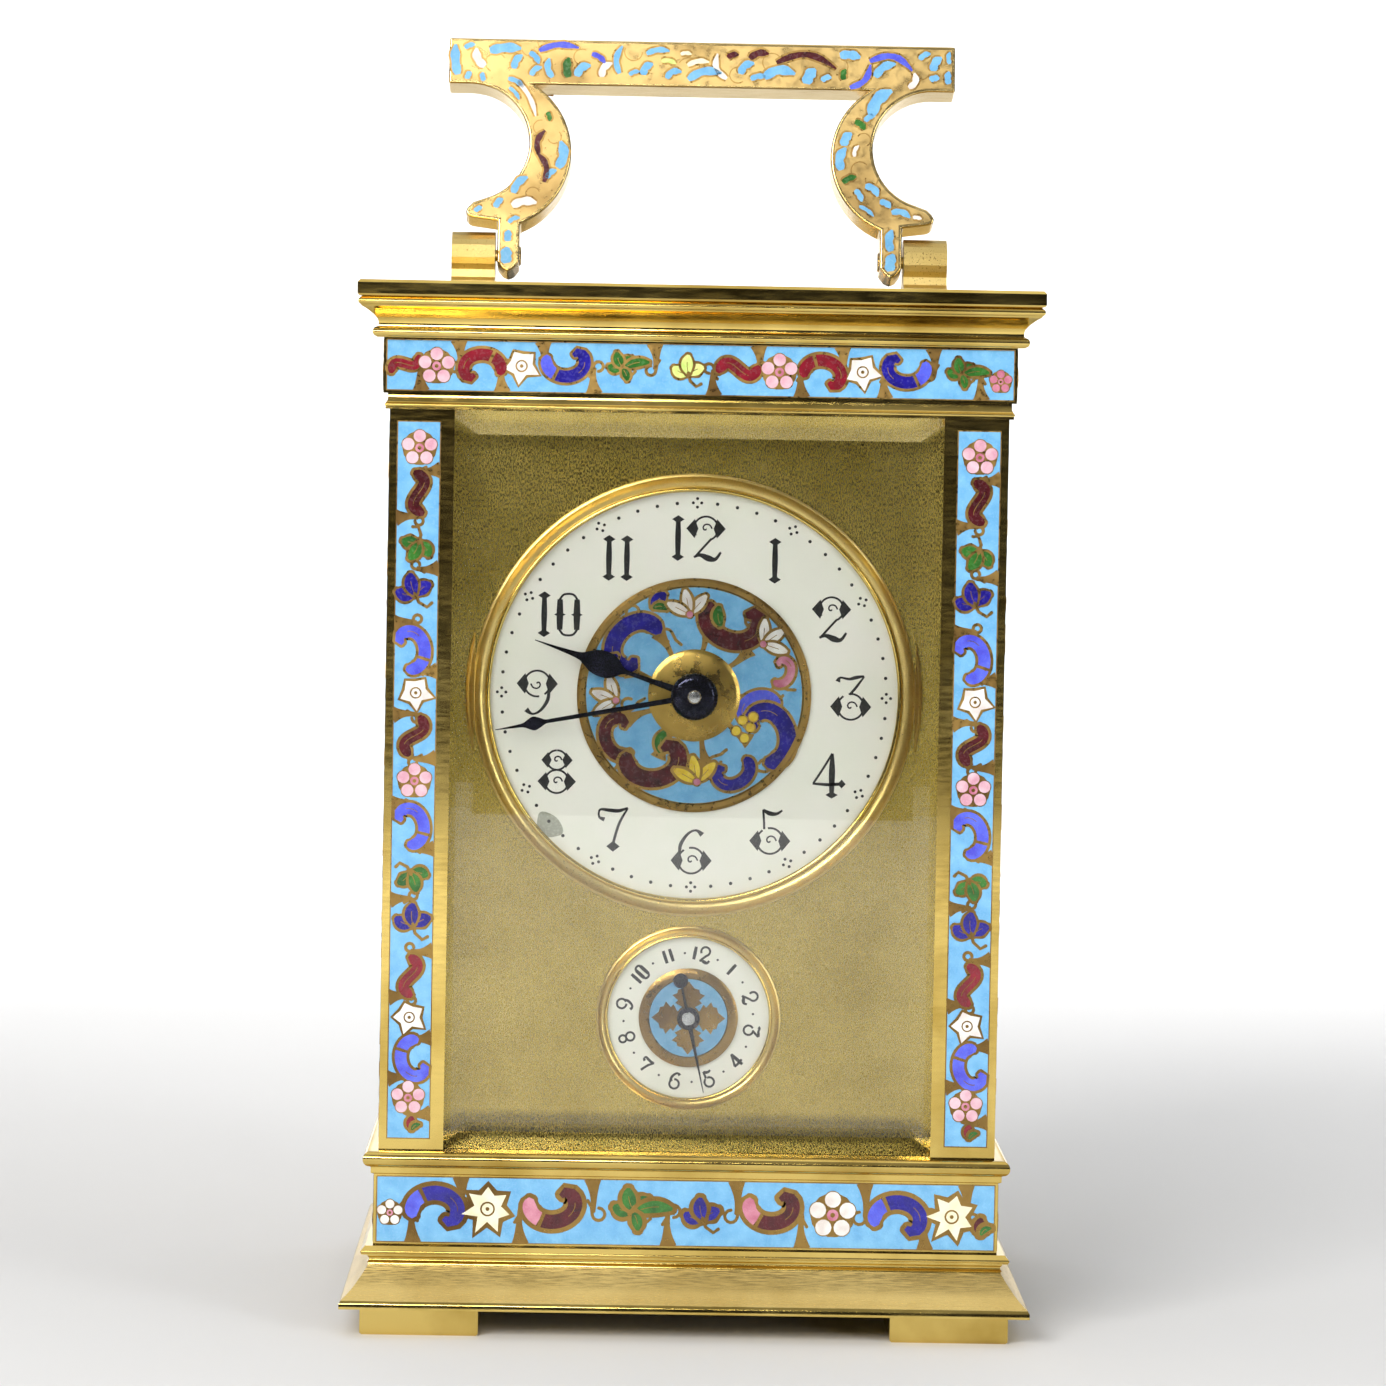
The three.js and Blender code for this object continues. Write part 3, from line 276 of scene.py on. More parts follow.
def spline(points, count):
    """A smooth line through a few points, of any number of values each."""
    ends = [points[0], *points, points[-1]]
    out = []
    for near in zip(ends, ends[1:], ends[2:], ends[3:]):
        out += [tuple(catmull_rom(*values, k / count) for values in zip(*near)) for k in range(count)]
    return [*out, tuple(points[-1])]


# ------------------------------------------------------------ materials

PALE_GLASS = (0.985, 1, 0.98, 1)


class Finish:
    """A material with a principled shader, its coordinates in millimetres, and short ways to add nodes."""

    def __init__(self, name, values):
        self.made = bpy.data.materials.new(name)
        self.made.use_nodes = True
        self.nodes = self.made.node_tree.nodes
        self.link = self.made.node_tree.links.new
        self.shader = self.nodes["Principled BSDF"]
        for key, value in values.items():
            self.shader.inputs[key].default_value = value
        where = self.nodes.new("ShaderNodeTexCoord")
        self.coords = self.add("Mapping", {"Scale": (1000,) * 3}, "Vector", where.outputs["Object"], "Vector")

    def add(self, kind, values, into, socket, out):
        """Adds a node with its values and a socket wired into it, and gives its output."""
        node = self.nodes.new("ShaderNode" + kind)
        for key, value in values.items():
            node.inputs[key].default_value = value
        self.link(socket, node.inputs[into])
        return node.outputs[out]

    def noise(self, scale, detail, stretch=None):
        """A noise texture: scale is in features per millimetre."""
        made = self.nodes.new("ShaderNodeTexNoise")
        made.inputs["Scale"].default_value = scale
        made.inputs["Detail"].default_value = detail
        coords = self.coords
        if stretch:
            coords = self.add("Mapping", {"Scale": stretch}, "Vector", coords, "Vector")
        self.link(coords, made.inputs["Vector"])
        return made.outputs["Fac"]

    def spread(self, value, low, high, start=0.35, end=0.65):
        """Maps a noise to a range of values."""
        ends = {"From Min": start, "From Max": end, "To Min": low, "To Max": high}
        return self.add("MapRange", ends, "Value", value, "Result")

    def colours(self, factor, first, second):
        """The base colour, from first to second by a factor."""
        made = self.nodes.new("ShaderNodeMix")
        made.data_type = "RGBA"
        self.link(factor, made.inputs["Factor"])
        made.inputs[6].default_value = (*first, 1)
        made.inputs[7].default_value = (*second, 1)
        self.link(made.outputs[2], self.shader.inputs["Base Color"])

    def roughness(self, value, *ends):
        self.link(self.spread(value, *ends), self.shader.inputs["Roughness"])

    def bump(self, height, strength, distance):
        values = {"Strength": strength, "Distance": distance * MM}
        self.link(self.add("Bump", values, "Height", height, "Normal"), self.shader.inputs["Normal"])


def brass(name, colour, tarnish, rough, grain, scratch):
    """Brass with tarnish in patches, uneven polish and fine scratches along its grain."""
    metal = Finish(name, {"Metallic": 1})
    metal.colours(metal.spread(metal.noise(0.09, 6), 0, 1, 0.42, 0.72), colour, tarnish)
    lines = metal.noise(1.0, 5, grain)
    metal.roughness(lines, rough * 0.75, rough * 1.35)
    metal.bump(lines, scratch, 0.05)
    return metal.made


def steel(name, colour, warm, rough):
    metal = Finish(name, {"Metallic": 1})
    metal.colours(metal.spread(metal.noise(0.6, 4), 0, 1), colour, warm)
    lines = metal.noise(1.2, 5, (6, 0.6, 6))
    metal.roughness(lines, rough * 0.7, rough * 1.4)
    metal.bump(lines, 0.1, 0.04)
    return metal.made


def enamel(name, colour, deep):
    """Fired glass in a brass cell: cloudy colour, a glossy skin and small pits."""
    fired = Finish(name, {"Coat Weight": 0.35, "Coat Roughness": 0.08})
    fired.colours(fired.spread(fired.noise(0.55, 5), 0, 1), colour, deep)
    pits = fired.noise(2.2, 4)
    fired.roughness(pits, 0.16, 0.32)
    fired.bump(pits, 0.35, 0.06)
    return fired.made


def porcelain():
    """White dial enamel, a little warm, with a faint green cast in its clouds."""
    fired = Finish("dial enamel", {"Coat Weight": 0.4, "Coat Roughness": 0.05})
    fired.colours(fired.spread(fired.noise(0.12, 4), 0, 1), (0.96, 0.94, 0.87), (0.92, 0.92, 0.82))
    skin = fired.noise(0.8, 3)
    fired.roughness(skin, 0.14, 0.24)
    fired.bump(skin, 0.08, 0.04)
    return fired.made


def clear_glass():
    """Plate glass with a faint green tint and the slight waves of old polish."""
    glass = Finish("plate glass", {"Base Color": PALE_GLASS, "Transmission Weight": 1, "IOR": 1.5})
    glass.roughness(glass.noise(0.25, 6), 0.0, 0.008, 0.5, 0.8)
    glass.bump(glass.noise(0.03, 2), 0.05, 0.02)
    return glass.made


def paint(name, colour, worn, rough):
    """Fired black on the dials, slightly worn."""
    coat = Finish(name, {})
    wear = coat.spread(coat.noise(3, 5), 0, 1, 0.5, 0.75)
    coat.colours(wear, colour, worn)
    coat.roughness(wear, rough * 0.6, rough, 0, 1)
    return coat.made


def paper():
    sheet = Finish("pale paper", {"Roughness": 0.8})
    sheet.colours(sheet.spread(sheet.noise(0.004, 3), 0, 1), (0.76,) * 3, (0.73,) * 3)
    return sheet.made


# Each brass: name, colour, tarnish, roughness, grain, depth of its scratches.
POLISHED = brass("polished brass", (0.74, 0.545, 0.16), (0.5, 0.34, 0.075), 0.12, (0.3, 0.3, 2), 0.01)
SATIN = brass("satin brass", (0.74, 0.55, 0.2), (0.58, 0.41, 0.13), 0.27, (0.4, 9, 9), 0.02)
# Dark brass for the lines between the enamel cells; round the handle's cells it is painted shade in their
# recesses.
EDGE = brass("dark brass lines and painted cell shade", (0.4, 0.25, 0.075), (0.16, 0.09, 0.03), 0.33, (1.5, 1.5, 1.5), 0.08)
BOSS = brass("old gilt boss", (0.42, 0.28, 0.07), (0.2, 0.12, 0.03), 0.3, (0.7, 0.7, 0.7), 0.2)
GILT = brass("matt gilt", (0.5, 0.37, 0.095), (0.41, 0.295, 0.06), 0.25, (6, 6, 2.5), 0.006)
BEZEL = brass("bezel gilt", (0.66, 0.5, 0.19), (0.55, 0.4, 0.13), 0.36, (5, 5, 5), 0.01)
HANDLE = brass("handle brass", (0.72, 0.54, 0.23), (0.55, 0.39, 0.14), 0.2, (0.3, 2, 2), 0.04)
WORN = brass("worn brass face", (0.58, 0.41, 0.16), (0.24, 0.15, 0.05), 0.36, (0.7, 2, 0.7), 0.1)
WORKS = brass("movement brass", (0.78, 0.58, 0.24), (0.58, 0.4, 0.14), 0.2, (0.6, 0.6, 3), 0.06)
STEEL = steel("polished steel", (0.55, 0.56, 0.58), (0.4, 0.4, 0.4), 0.22)
BLUED = steel("dark blued steel", (0.012, 0.013, 0.02), (0.03, 0.03, 0.05), 0.25)
SPRING = steel("blued spring", (0.05, 0.07, 0.18), (0.1, 0.07, 0.12), 0.25)
GLASS = clear_glass()
WHITE = porcelain()
BLACK = paint("dial black", (0.012, 0.011, 0.012), (0.05, 0.045, 0.04), 0.5)
CHIP = paint("worn chip", (0.36, 0.37, 0.3), (0.55, 0.56, 0.47), 0.7)
RUBY = enamel("jewel", (0.35, 0.01, 0.04), (0.2, 0.0, 0.02))
PAPER = paper()

FIRED = {
    "sky": ((0.19, 0.46, 0.72), (0.13, 0.37, 0.64)),
    "navy": ((0.007, 0.003, 0.16), (0.014, 0.009, 0.28)),
    "periwinkle": ((0.1, 0.14, 0.75), (0.06, 0.06, 0.55)),
    "maroon": ((0.045, 0.003, 0.005), (0.09, 0.006, 0.011)),
    "red": ((0.24, 0.006, 0.02), (0.13, 0.005, 0.012)),
    "pink": ((0.72, 0.5, 0.56), (0.6, 0.3, 0.38)),
    "rose": ((0.6, 0.25, 0.33), (0.42, 0.1, 0.17)),
    "green": ((0.015, 0.09, 0.012), (0.035, 0.17, 0.02)),
    "lime": ((0.5, 0.68, 0.16), (0.7, 0.72, 0.25)),
    "cream": ((0.86, 0.82, 0.62), (0.74, 0.68, 0.44)),
    "white": ((0.8, 0.79, 0.75), (0.66, 0.6, 0.56)),
    "yellow": ((0.78, 0.6, 0.06), (0.62, 0.4, 0.03)),
}
ENAMELS = {name: enamel(f"{name} enamel", *pair) for name, pair in FIRED.items()}


# ------------------------------------------------------------ case mouldings

FRAME_DEPTH = -9.5  # the base's and rail's inner wall, from the body's faces
WALL_DEPTH = -3  # the inner face of their walls
FLOOR_LOW, FLOOR_HIGH = 21.9, 23.55
FLOOR_INSET = 3.05


def build_base():
    """The stepped base: lip, concave slope, cove, frieze wall, fillet and bullnose, and the floor plate."""
    slope = spline([(4.75, 5.15), (3.3, 6.6), (1.9, 8.5), (1.15, 9.7)], 5)
    lower = [(5, 4), (5, 4.7), (4.9, 4.9)]
    upper = [(1.1, 9.9), *arc(1.5, 10.5, 0.45, 240, 120, 6), (1.3, 11.2), (2.1, 11.2)]
    upper += [*arc(1.95, 11.6, 0.28, -60, 60, 5), (1.6, 12.4), (0.55, 12.4), (0.55, 22.3)]
    upper += [(1, 22.5), (1, 23.3), *arc(1, 24.5, 1.1, -82, 82, 14), (0.9, BASE_TOP)]
    inside = [(FRAME_DEPTH, BASE_TOP), (FRAME_DEPTH, 23.6), (WALL_DEPTH, 23.6), (WALL_DEPTH, 4)]
    profile = lower + slope + upper + inside
    satin = range(len(lower), len(lower) + len(slope) - 1)
    builder = Builder()
    builder.swept(mitred(profile), POLISHED)
    for face in range(len(builder.marks)):
        if face % len(profile) in satin:
            builder.marks[face] = builder.mark(SATIN)
    floor = oblong(BODY_X - FLOOR_INSET, BODY_Y - FLOOR_INSET)
    builder.prism(floor, FLOOR_LOW, FLOOR_HIGH, GILT, facing_up(0, 0, 0))
    builder.make("base_moulding", replaces=["base_frame"], smooth=32)


def build_top():
    """The top rail with its frieze wall, and the cornice over it."""
    rail = [(0.6, PILLAR_TOP), *arc(0.45, 129.5, 0.25, -60, 60, 6), (0.3, 130.2), (0.3, 131.1)]
    rail += [(0.9, 131.1), (0.9, FRIEZE_TOP), (WALL_DEPTH, FRIEZE_TOP), (WALL_DEPTH, 130.9)]
    rail += [(FRAME_DEPTH, 130.9), (FRAME_DEPTH, PILLAR_TOP)]
    builder = Builder()
    builder.swept(mitred(rail), POLISHED)
    builder.make("top_rail", replaces=["top_frame"], smooth=32)

    bead = [(1.4, FRIEZE_TOP), (1.9, FRIEZE_TOP), *arc(1.75, 139.55, 0.7, -75, 75, 10), (1.7, 140.35)]
    cyma = spline([(1.65, 140.7), (1.8, 141.3), (2.4, 142.0), (3.3, 142.7), (3.95, 143.05)], 5)
    slab = [(4, 143.2), *arc(3.9, 143.75, 0.5, -70, 70, 8), (3.9, 144.4), (4.3, 144.5)]
    slab += [(4.5, 144.75), (4.5, 146.3), (4.15, CASE_TOP)]
    inside = [(-14.5, CASE_TOP), (-14.5, 144), (-16.5, 144), (-16.5, 142.7)]
    inside += [(WALL_DEPTH, 142.7), (WALL_DEPTH, FRIEZE_TOP)]
    builder = Builder()
    builder.swept(mitred(bead + cyma + slab + inside), POLISHED)
    builder.make("cornice_moulding", replaces=["cornice"], smooth=32)


# ------------------------------------------------------------ champleve enamel

GROUND = 0.1  # height of the ground enamel over its wall
BORDER = 0.16  # width of the dark line round a ground
FIRST = 0.03  # the lowest cell stands this much above the ground
LIFT = 0.004  # each cell stands this much above the one before, so that no two share a plane
NUDGE = 0.0009  # and neighbouring motifs differ by this
VEIN = 0.1  # width of the brass lines inside a cell


class Inlay:
    """Enamel on one wall: cells of colour with brass round them, laid in local millimetres."""

    def __init__(self, builder, place, base=0.0, line=0.34):
        self.builder = builder
        self.place = place
        self.base = base
        self.line = line
        self.restart(0, 0)

    def restart(self, laid, turn):
        """Starts a motif of its own over what lies beside it."""
        self.laid = laid
        self.nudge = turn % 4 * NUDGE

    def heights(self):
        self.laid += 1
        low = self.base + GROUND + FIRST + self.nudge + self.laid * LIFT
        return low, low + LIFT / 2

    def ground(self, outline):
        self.builder.prism(outline, self.base, self.base + GROUND, ENAMELS["sky"], self.place)

    def stroke(self, points, widths, colour, line=None):
        """A cell of colour along a line, with brass round it. No colour leaves it all brass."""
        line = self.line if line is None else line
        brass_top, colour_top = self.heights()
        first, last = widths[0] + 2 * line, widths[-1] + 2 * line
        rims = [0.4 * first, 0.85 * first, *[w + 2 * line for w in widths], 0.85 * last, 0.4 * last]
        self.builder.ribbon(lengthened(points, line), rims, self.base, brass_top, EDGE, self.place)
        if colour:
            self.builder.ribbon(points, widths, self.base, colour_top, ENAMELS[colour], self.place)

    def spot(self, u, v, r, colour, line=None):
        line = self.line if line is None else line
        brass_top, colour_top = self.heights()
        self.builder.disc(u, v, r + line, self.base, brass_top, EDGE, self.place)
        if colour:
            self.builder.disc(u, v, r, self.base, colour_top, ENAMELS[colour], self.place)

    def cell(self, outline, rim, colour):
        """A cell with an outline of its own, on a larger outline of brass."""
        brass_top, colour_top = self.heights()
        self.builder.prism(rim, self.base, brass_top, EDGE, self.place)
        self.builder.prism(outline, self.base, colour_top, ENAMELS[colour], self.place)

    def vein(self, points, width=VEIN):
        self.builder.ribbon(points, width, self.base, self.heights()[1], EDGE, self.place)


def lengthened(points, extra):
    """The same line with two more points at each end, up to a little further on."""
    ends = []
    for end, inner in ((points[0], points[1]), (points[-1], points[-2])):
        tip = Vector(end) + (Vector(end) - Vector(inner)).normalized() * extra
        ends.append((tuple(tip), tuple(Vector(end).lerp(tip, 0.6))))
    (start, near), (last, far) = ends
    return [start, near, *points, far, last]


class Spot:
    """Where a motif stands on its wall: place, turn in degrees, size and whether it is mirrored."""

    def __init__(self, u, v, turn=0.0, size=1.0, flip=False):
        self.u, self.v, self.size, self.flip = u, v, size, flip
        self.turn = math.radians(turn)

    def point(self, x, y):
        if self.flip:
            x = -x
        c, s = math.cos(self.turn), math.sin(self.turn)
        return self.u + self.size * (x * c - y * s), self.v + self.size * (x * s + y * c)

    def line(self, points):
        return [self.point(x, y) for x, y in points]


def blunt(width, n):
    """Widths of a stroke of n + 1 points, rounded off at both ends."""
    ends = [max(0, 1 - min(t, 1 - t) / 0.13) for t in steps(n)]
    return [width * max(0.35, math.sqrt(1 - e * e)) for e in ends]


def leaf(inlay, spot, colour, length=2.9, width=1.5, bend=0.3, turn=0.0, start=0.2):
    """A pointed leaf with a brass vein, growing from near the spot's centre."""
    path = Spot(0, 0, turn).line([(start + length * t, bend * math.sin(math.pi * t)) for t in steps(8)])
    shape = [math.sin(math.pi * min(1, t * 0.9 + 0.06)) ** 0.7 for t in steps(8)]
    placed = spot.line(path)
    inlay.stroke(placed, [spot.size * max(0.08, width * h) for h in shape], colour)
    inlay.vein(placed[1:6])


def scroll(inlay, spot, colour, end_colour=None, reach=2.45, rise=1.85, fat=1.55):
    """A fat C that opens downwards, in two cells, with a curl at its head."""
    turns = [math.radians(212 - 238 * t) for t in steps(24)]
    path = [(-0.95, -1.35), (-1.45, -1.75)]
    path += [(reach * math.cos(a), rise * math.sin(a) - 0.5) for a in turns]
    widths = [w * spot.size for w in blunt(fat, len(path) - 1)]
    placed = spot.line(path)
    inlay.stroke(placed, widths, colour)
    if end_colour:
        inlay.stroke(placed[18:], widths[18:], end_colour, 0.04)
        inlay.vein([placed[17], placed[18]], widths[17])
    inlay.vein(placed[5:11])


def wave(inlay, spot, colour, reach=2.75, fat=1.4):
    """An S-shaped scroll."""
    placed = spot.line([(reach * (2 * t - 1), 1.05 * math.sin(2 * math.pi * t)) for t in steps(20)])
    inlay.stroke(placed, [w * spot.size for w in blunt(fat, 20)], colour)
    inlay.vein(placed[5:15])


def trefoil(inlay, spot, colour):
    for turn, length in ((26, 2.3), (154, 2.3), (90, 2.7)):
        leaf(inlay, spot, colour, length, 1.7, 0.2, turn)
    inlay.stroke(spot.line([(0, 0.3), (0.3, -0.9), (1.2, -1.7), (1.9, -1.3)]), [0.06] * 4, None, 0.2)


def sprig(inlay, spot, colour):
    """Three leaves and a long one."""
    trefoil(inlay, spot, colour)
    leaf(inlay, spot, colour, 4.4, 1.5, 0.4, -8, 0.4)
    leaf(inlay, spot, colour, 2.2, 1.3, 0.2, -88)


def blossom(inlay, spot, colour):
    """Five round petals about a heart, in a dark clump of brass."""
    inlay.spot(spot.u, spot.v, 2.1 * spot.size, None, 0.1)
    for x, y in arc(0, 0, 1.5, 90, 378, 4):
        inlay.spot(*spot.point(x, y), 0.78 * spot.size, colour, 0.12)
    inlay.spot(spot.u, spot.v, 0.56 * spot.size, "rose", 0.12)
    inlay.spot(spot.u, spot.v, 0.2 * spot.size, None, 0.05)


def ringed_star(spot, points, outer, inner, grow=0.0):
    outline = []
    for k in range(2 * points):
        a = math.pi * k / points
        r = (outer if k % 2 else inner) * (1 + 0.1 * math.sin(3.7 * k)) + grow
        outline.append(spot.point(r * math.cos(a), r * math.sin(a)))
    return outline


def star(inlay, spot, colour, points=5, outer=2.35, inner=1.45):
    """A flower with pointed corners and a brass ring for its heart."""
    rim = ringed_star(spot, points, outer, inner, inlay.line)
    inlay.cell(ringed_star(spot, points, outer, inner), rim, colour)
    inlay.spot(spot.u, spot.v, 0.62 * spot.size, colour, 0.2 * spot.size)
    inlay.spot(spot.u, spot.v, 0.14 * spot.size, None, 0.1)


def sunflower(inlay, spot, colour):
    star(inlay, spot, colour, 7, 2.7, 1.5)


def lily(inlay, spot, colour):
    for turn in (38, 90, 142):
        leaf(inlay, spot, colour, 2.9, 1.2, 0.0, turn)
    inlay.spot(spot.u, spot.v, 0.4 * spot.size, "rose", 0.2)


def bud(inlay, spot, colour):
    leaf(inlay, spot, colour, 2.2, 1.5, 0.15, 90, 0)
    leaf(inlay, spot, "green", 1.6, 0.8, 0.3, 35, 0)


# Each row: motif, colour, place along the strip from -1 to 1, offset across it, turn, size, and True
# where it is mirrored.
LOWER_FRIEZE = [
    (blossom, "white", -0.955, -0.5, 0, 0.8), (scroll, "navy", -0.81, 0.6, 0, 1.3, True),
    (sunflower, "cream", -0.64, 0.2, 12, 1.28), (scroll, "maroon", -0.43, 0.3, 184, 1.3),
    (sprig, "green", -0.17, 0.2, 12, 1.15), (trefoil, "navy", 0.055, -0.9, 6, 1.1),
    (scroll, "maroon", 0.275, 0.5, 178, 1.25), (blossom, "white", 0.475, 0.1, 0, 1.45),
    (scroll, "navy", 0.685, 0.3, -2, 1.3, True), (sunflower, "cream", 0.86, 0.1, 0, 1.25),
    (bud, "maroon", 0.955, -2.4, 0, 1.1),
]
UPPER_FRIEZE = [
    (wave, "red", -0.94, 0.1, 34, 0.85), (blossom, "pink", -0.84, -0.1, 0, 1.12),
    (scroll, "red", -0.695, 0.2, 0, 1.05), (star, "white", -0.57, 0.1, 10, 1.05),
    (scroll, "navy", -0.43, 0.2, 180, 1.08), (sprig, "green", -0.25, 0.1, 20, 0.8),
    (trefoil, "lime", -0.04, -0.7, 0, 0.95), (wave, "red", 0.12, 0.2, 10, 1.08),
    (blossom, "pink", 0.25, -0.1, 0, 1.12), (scroll, "red", 0.39, 0.2, -10, 1.05, True),
    (star, "white", 0.515, 0.1, 25, 1.05), (scroll, "navy", 0.655, 0.2, 180, 1.08, True),
    (sprig, "green", 0.83, 0, 12, 0.8), (blossom, "rose", 0.955, -0.9, 0, 0.7),
]
PILLAR_STRIP = [
    (blossom, "pink", 0.925, 0.1, 0, 1.1), (wave, "maroon", 0.8, 0.1, 105, 1.1),
    (trefoil, "green", 0.665, 0.3, 150, 0.99), (trefoil, "navy", 0.515, -0.2, 12, 1.1),
    (scroll, "periwinkle", 0.365, -0.2, -82, 1.08), (star, "white", 0.245, 0.1, 22, 1.01),
    (wave, "maroon", 0.125, 0, 78, 1.04), (blossom, "pink", 0, 0.1, 0, 1.08),
    (scroll, "periwinkle", -0.125, 0.1, -78, 1.04), (trefoil, "green", -0.255, -0.2, 195, 0.97),
    (trefoil, "navy", -0.405, 0.2, 0, 1.1), (wave, "red", -0.545, 0, 95, 1.04),
    (star, "white", -0.66, -0.1, 0, 0.99), (scroll, "periwinkle", -0.775, 0.2, 98, 1.04),
    (blossom, "pink", -0.885, -0.1, 0, 1.04), (bud, "red", -0.975, 0.5, 0, 0.88),
]
SECOND_COLOUR = {"navy": "periwinkle", "maroon": "rose", "periwinkle": "periwinkle", "red": "red"}


def bridge(inlay, spot, length):
    """Brass that spreads from between two motifs to the edge of the strip."""
    path = [(0.1 * math.sin(4 * t), length * t) for t in steps(5)]
    inlay.stroke(spot.line(path), [0.5 + 1.7 * t**2.5 for t in steps(5)], None, 0.1)


def hook(inlay, spot):
    """A small open curl of brass."""
    curl = arc(0.55, 0.2, 0.6, 170, -90, 9)
    inlay.stroke(spot.line([(-0.5, -1.1), (-0.15, -0.5), *curl]), [0.05] * 12, None, 0.2)


def lay_strip(inlay, rows, half_long, half_wide, upright):
    """Motifs along a strip, with brass bridges and curls between them."""
    for k, (row, following) in enumerate(zip(rows, rows[1:])):
        middle = (row[2] + following[2]) / 2 * half_long
        u, v = (0, middle) if upright else (middle, 0)
        turn = (90 if upright else 0) + (0 if k % 2 else 180)
        inlay.restart(0, k)
        bridge(inlay, Spot(u, v, turn), half_wide - 0.15)
        hook(inlay, Spot(u, v, turn + 180, half_wide / 3.2, k % 3 == 0))
    for k, (motif, colour, along, across, turn, size, *mirrored) in enumerate(rows):
        u, v = (across, along * half_long) if upright else (along * half_long, across)
        spot = Spot(u, v, turn, size, bool(mirrored))
        inlay.restart(3, k)
        if motif is scroll:
            scroll(inlay, spot, colour, SECOND_COLOUR[colour])
        else:
            motif(inlay, spot, colour)


def strip(name, place, half_long, half_wide, rows, upright, line):
    """A ground of sky enamel with a dark line round it, and its motifs."""
    builder = Builder()
    inlay = Inlay(builder, place, line=line)
    u, v = (half_wide, half_long) if upright else (half_long, half_wide)
    builder.prism(oblong(u, v), 0.0, 0.7 * GROUND, EDGE, place)
    inlay.ground(oblong(u - BORDER, v - BORDER))
    lay_strip(inlay, rows, half_long, half_wide, upright)
    builder.make(name, smooth=30)


# Each band: name, lower and upper edge, distance outside the body, motifs, width of its brass lines.
BANDS = (
    ("lower", 12.75, 22.1, 0.55, LOWER_FRIEZE, 0.65),
    ("upper", 131.45, 138.6, 0.9, UPPER_FRIEZE, 0.4),
)
BAND_END = 0.35  # each band stops this far from its wall's end
CHANNEL_EDGE = 1.05  # width of the pillar's metal beside its channel
CHANNEL_END = 1.6
CHANNEL_HALF = 3.05
CHANNEL_LINE = 0.42


def build_friezes():
    """Enamel friezes on the front and both sides, under the cornice and on the base."""
    for name, z0, z1, out, rows, line in BANDS:
        middle, half = (z0 + z1) / 2, (z1 - z0) / 2
        x, y = BODY_X + out, BODY_Y + out
        for wall, place, long in (
            ("front", facing_front(0, -y, middle), x),
            ("left", facing_side(-1, -x, 0, middle), y),
            ("right", facing_side(1, x, 0, middle), y),
        ):
            strip(f"{name}_frieze_{wall}", place, long - BAND_END, half, rows, False, line)


def build_pillar_strips():
    """Enamel in the pillars' front faces and in their faces on the clock's sides."""
    half_long = (PILLAR_TOP - BASE_TOP) / 2 - CHANNEL_END
    middle = (PILLAR_TOP + BASE_TOP) / 2
    inset = CHANNEL_EDGE + CHANNEL_HALF
    for side, sign in (("left", -1), ("right", 1)):
        for name, place in (
            ("front", facing_front(sign * (BODY_X - inset), -BODY_Y, middle)),
            ("side_front", facing_side(sign, sign * BODY_X, -BODY_Y + inset, middle)),
            ("side_back", facing_side(sign, sign * BODY_X, BODY_Y - inset, middle)),
        ):
            piece = f"pillar_enamel_{side}_{name}"
            strip(piece, place, half_long, CHANNEL_HALF, PILLAR_STRIP, True, CHANNEL_LINE)


# ------------------------------------------------------------ dials

CURL_WIDTH = 0.035
THIN = 0.05  # width of a figure's thin strokes


def loop(y, r, start=100.0, end=-235.0):
    """The thin round of a figure's bowl, and the curl inside it."""
    bowl = [(px, py, 0.045) for px, py in arc(0, y, r, start, end, 14)]
    curl = []
    for t in steps(8):
        inner = 0.5 * r * (1 - t)
        curl.append((inner * math.cos(5.5 * t), y + inner * math.sin(5.5 * t), CURL_WIDTH))
    return [bowl, curl]


def bowl_points(y, r, wide=0.17):
    """The two filled points at the sides of a bowl."""
    half = [(r + wide, y), (r - 0.02, y + 0.8 * r), (r - 0.1, y), (r - 0.02, y - 0.8 * r)]
    return [[(side * u, v) for u, v in half] for side in (-1, 1)]


def lozenge(x, y, wide, high):
    return [(x - wide, y), (x, y + high), (x + wide, y), (x, y - high)]


def thin(*points):
    return [(x, y, THIN) for x, y in points]


def mirrored(strokes, sx, sy):
    """The same strokes or outlines, turned over where a sign is -1."""
    return [[(sx * x, sy * y, *w) for x, y, *w in stroke] for stroke in strokes]


ZERO_SIDE = [[(-0.19, 0.34, 0.12), (-0.19, 0, 0.15), (-0.19, -0.34, 0.12)]]
ZERO_TOP = [thin((-0.2, 0.33), (-0.1, 0.45), (0.1, 0.45), (0.2, 0.33))]
SIX = (
    [*loop(-0.2, 0.29),
     [(-0.26, -0.08, 0.06), (-0.24, 0.16, 0.08), (-0.08, 0.4, 0.06), (0.1, 0.48, THIN), (0.24, 0.38, 0.12)]],
    bowl_points(-0.2, 0.29),
)
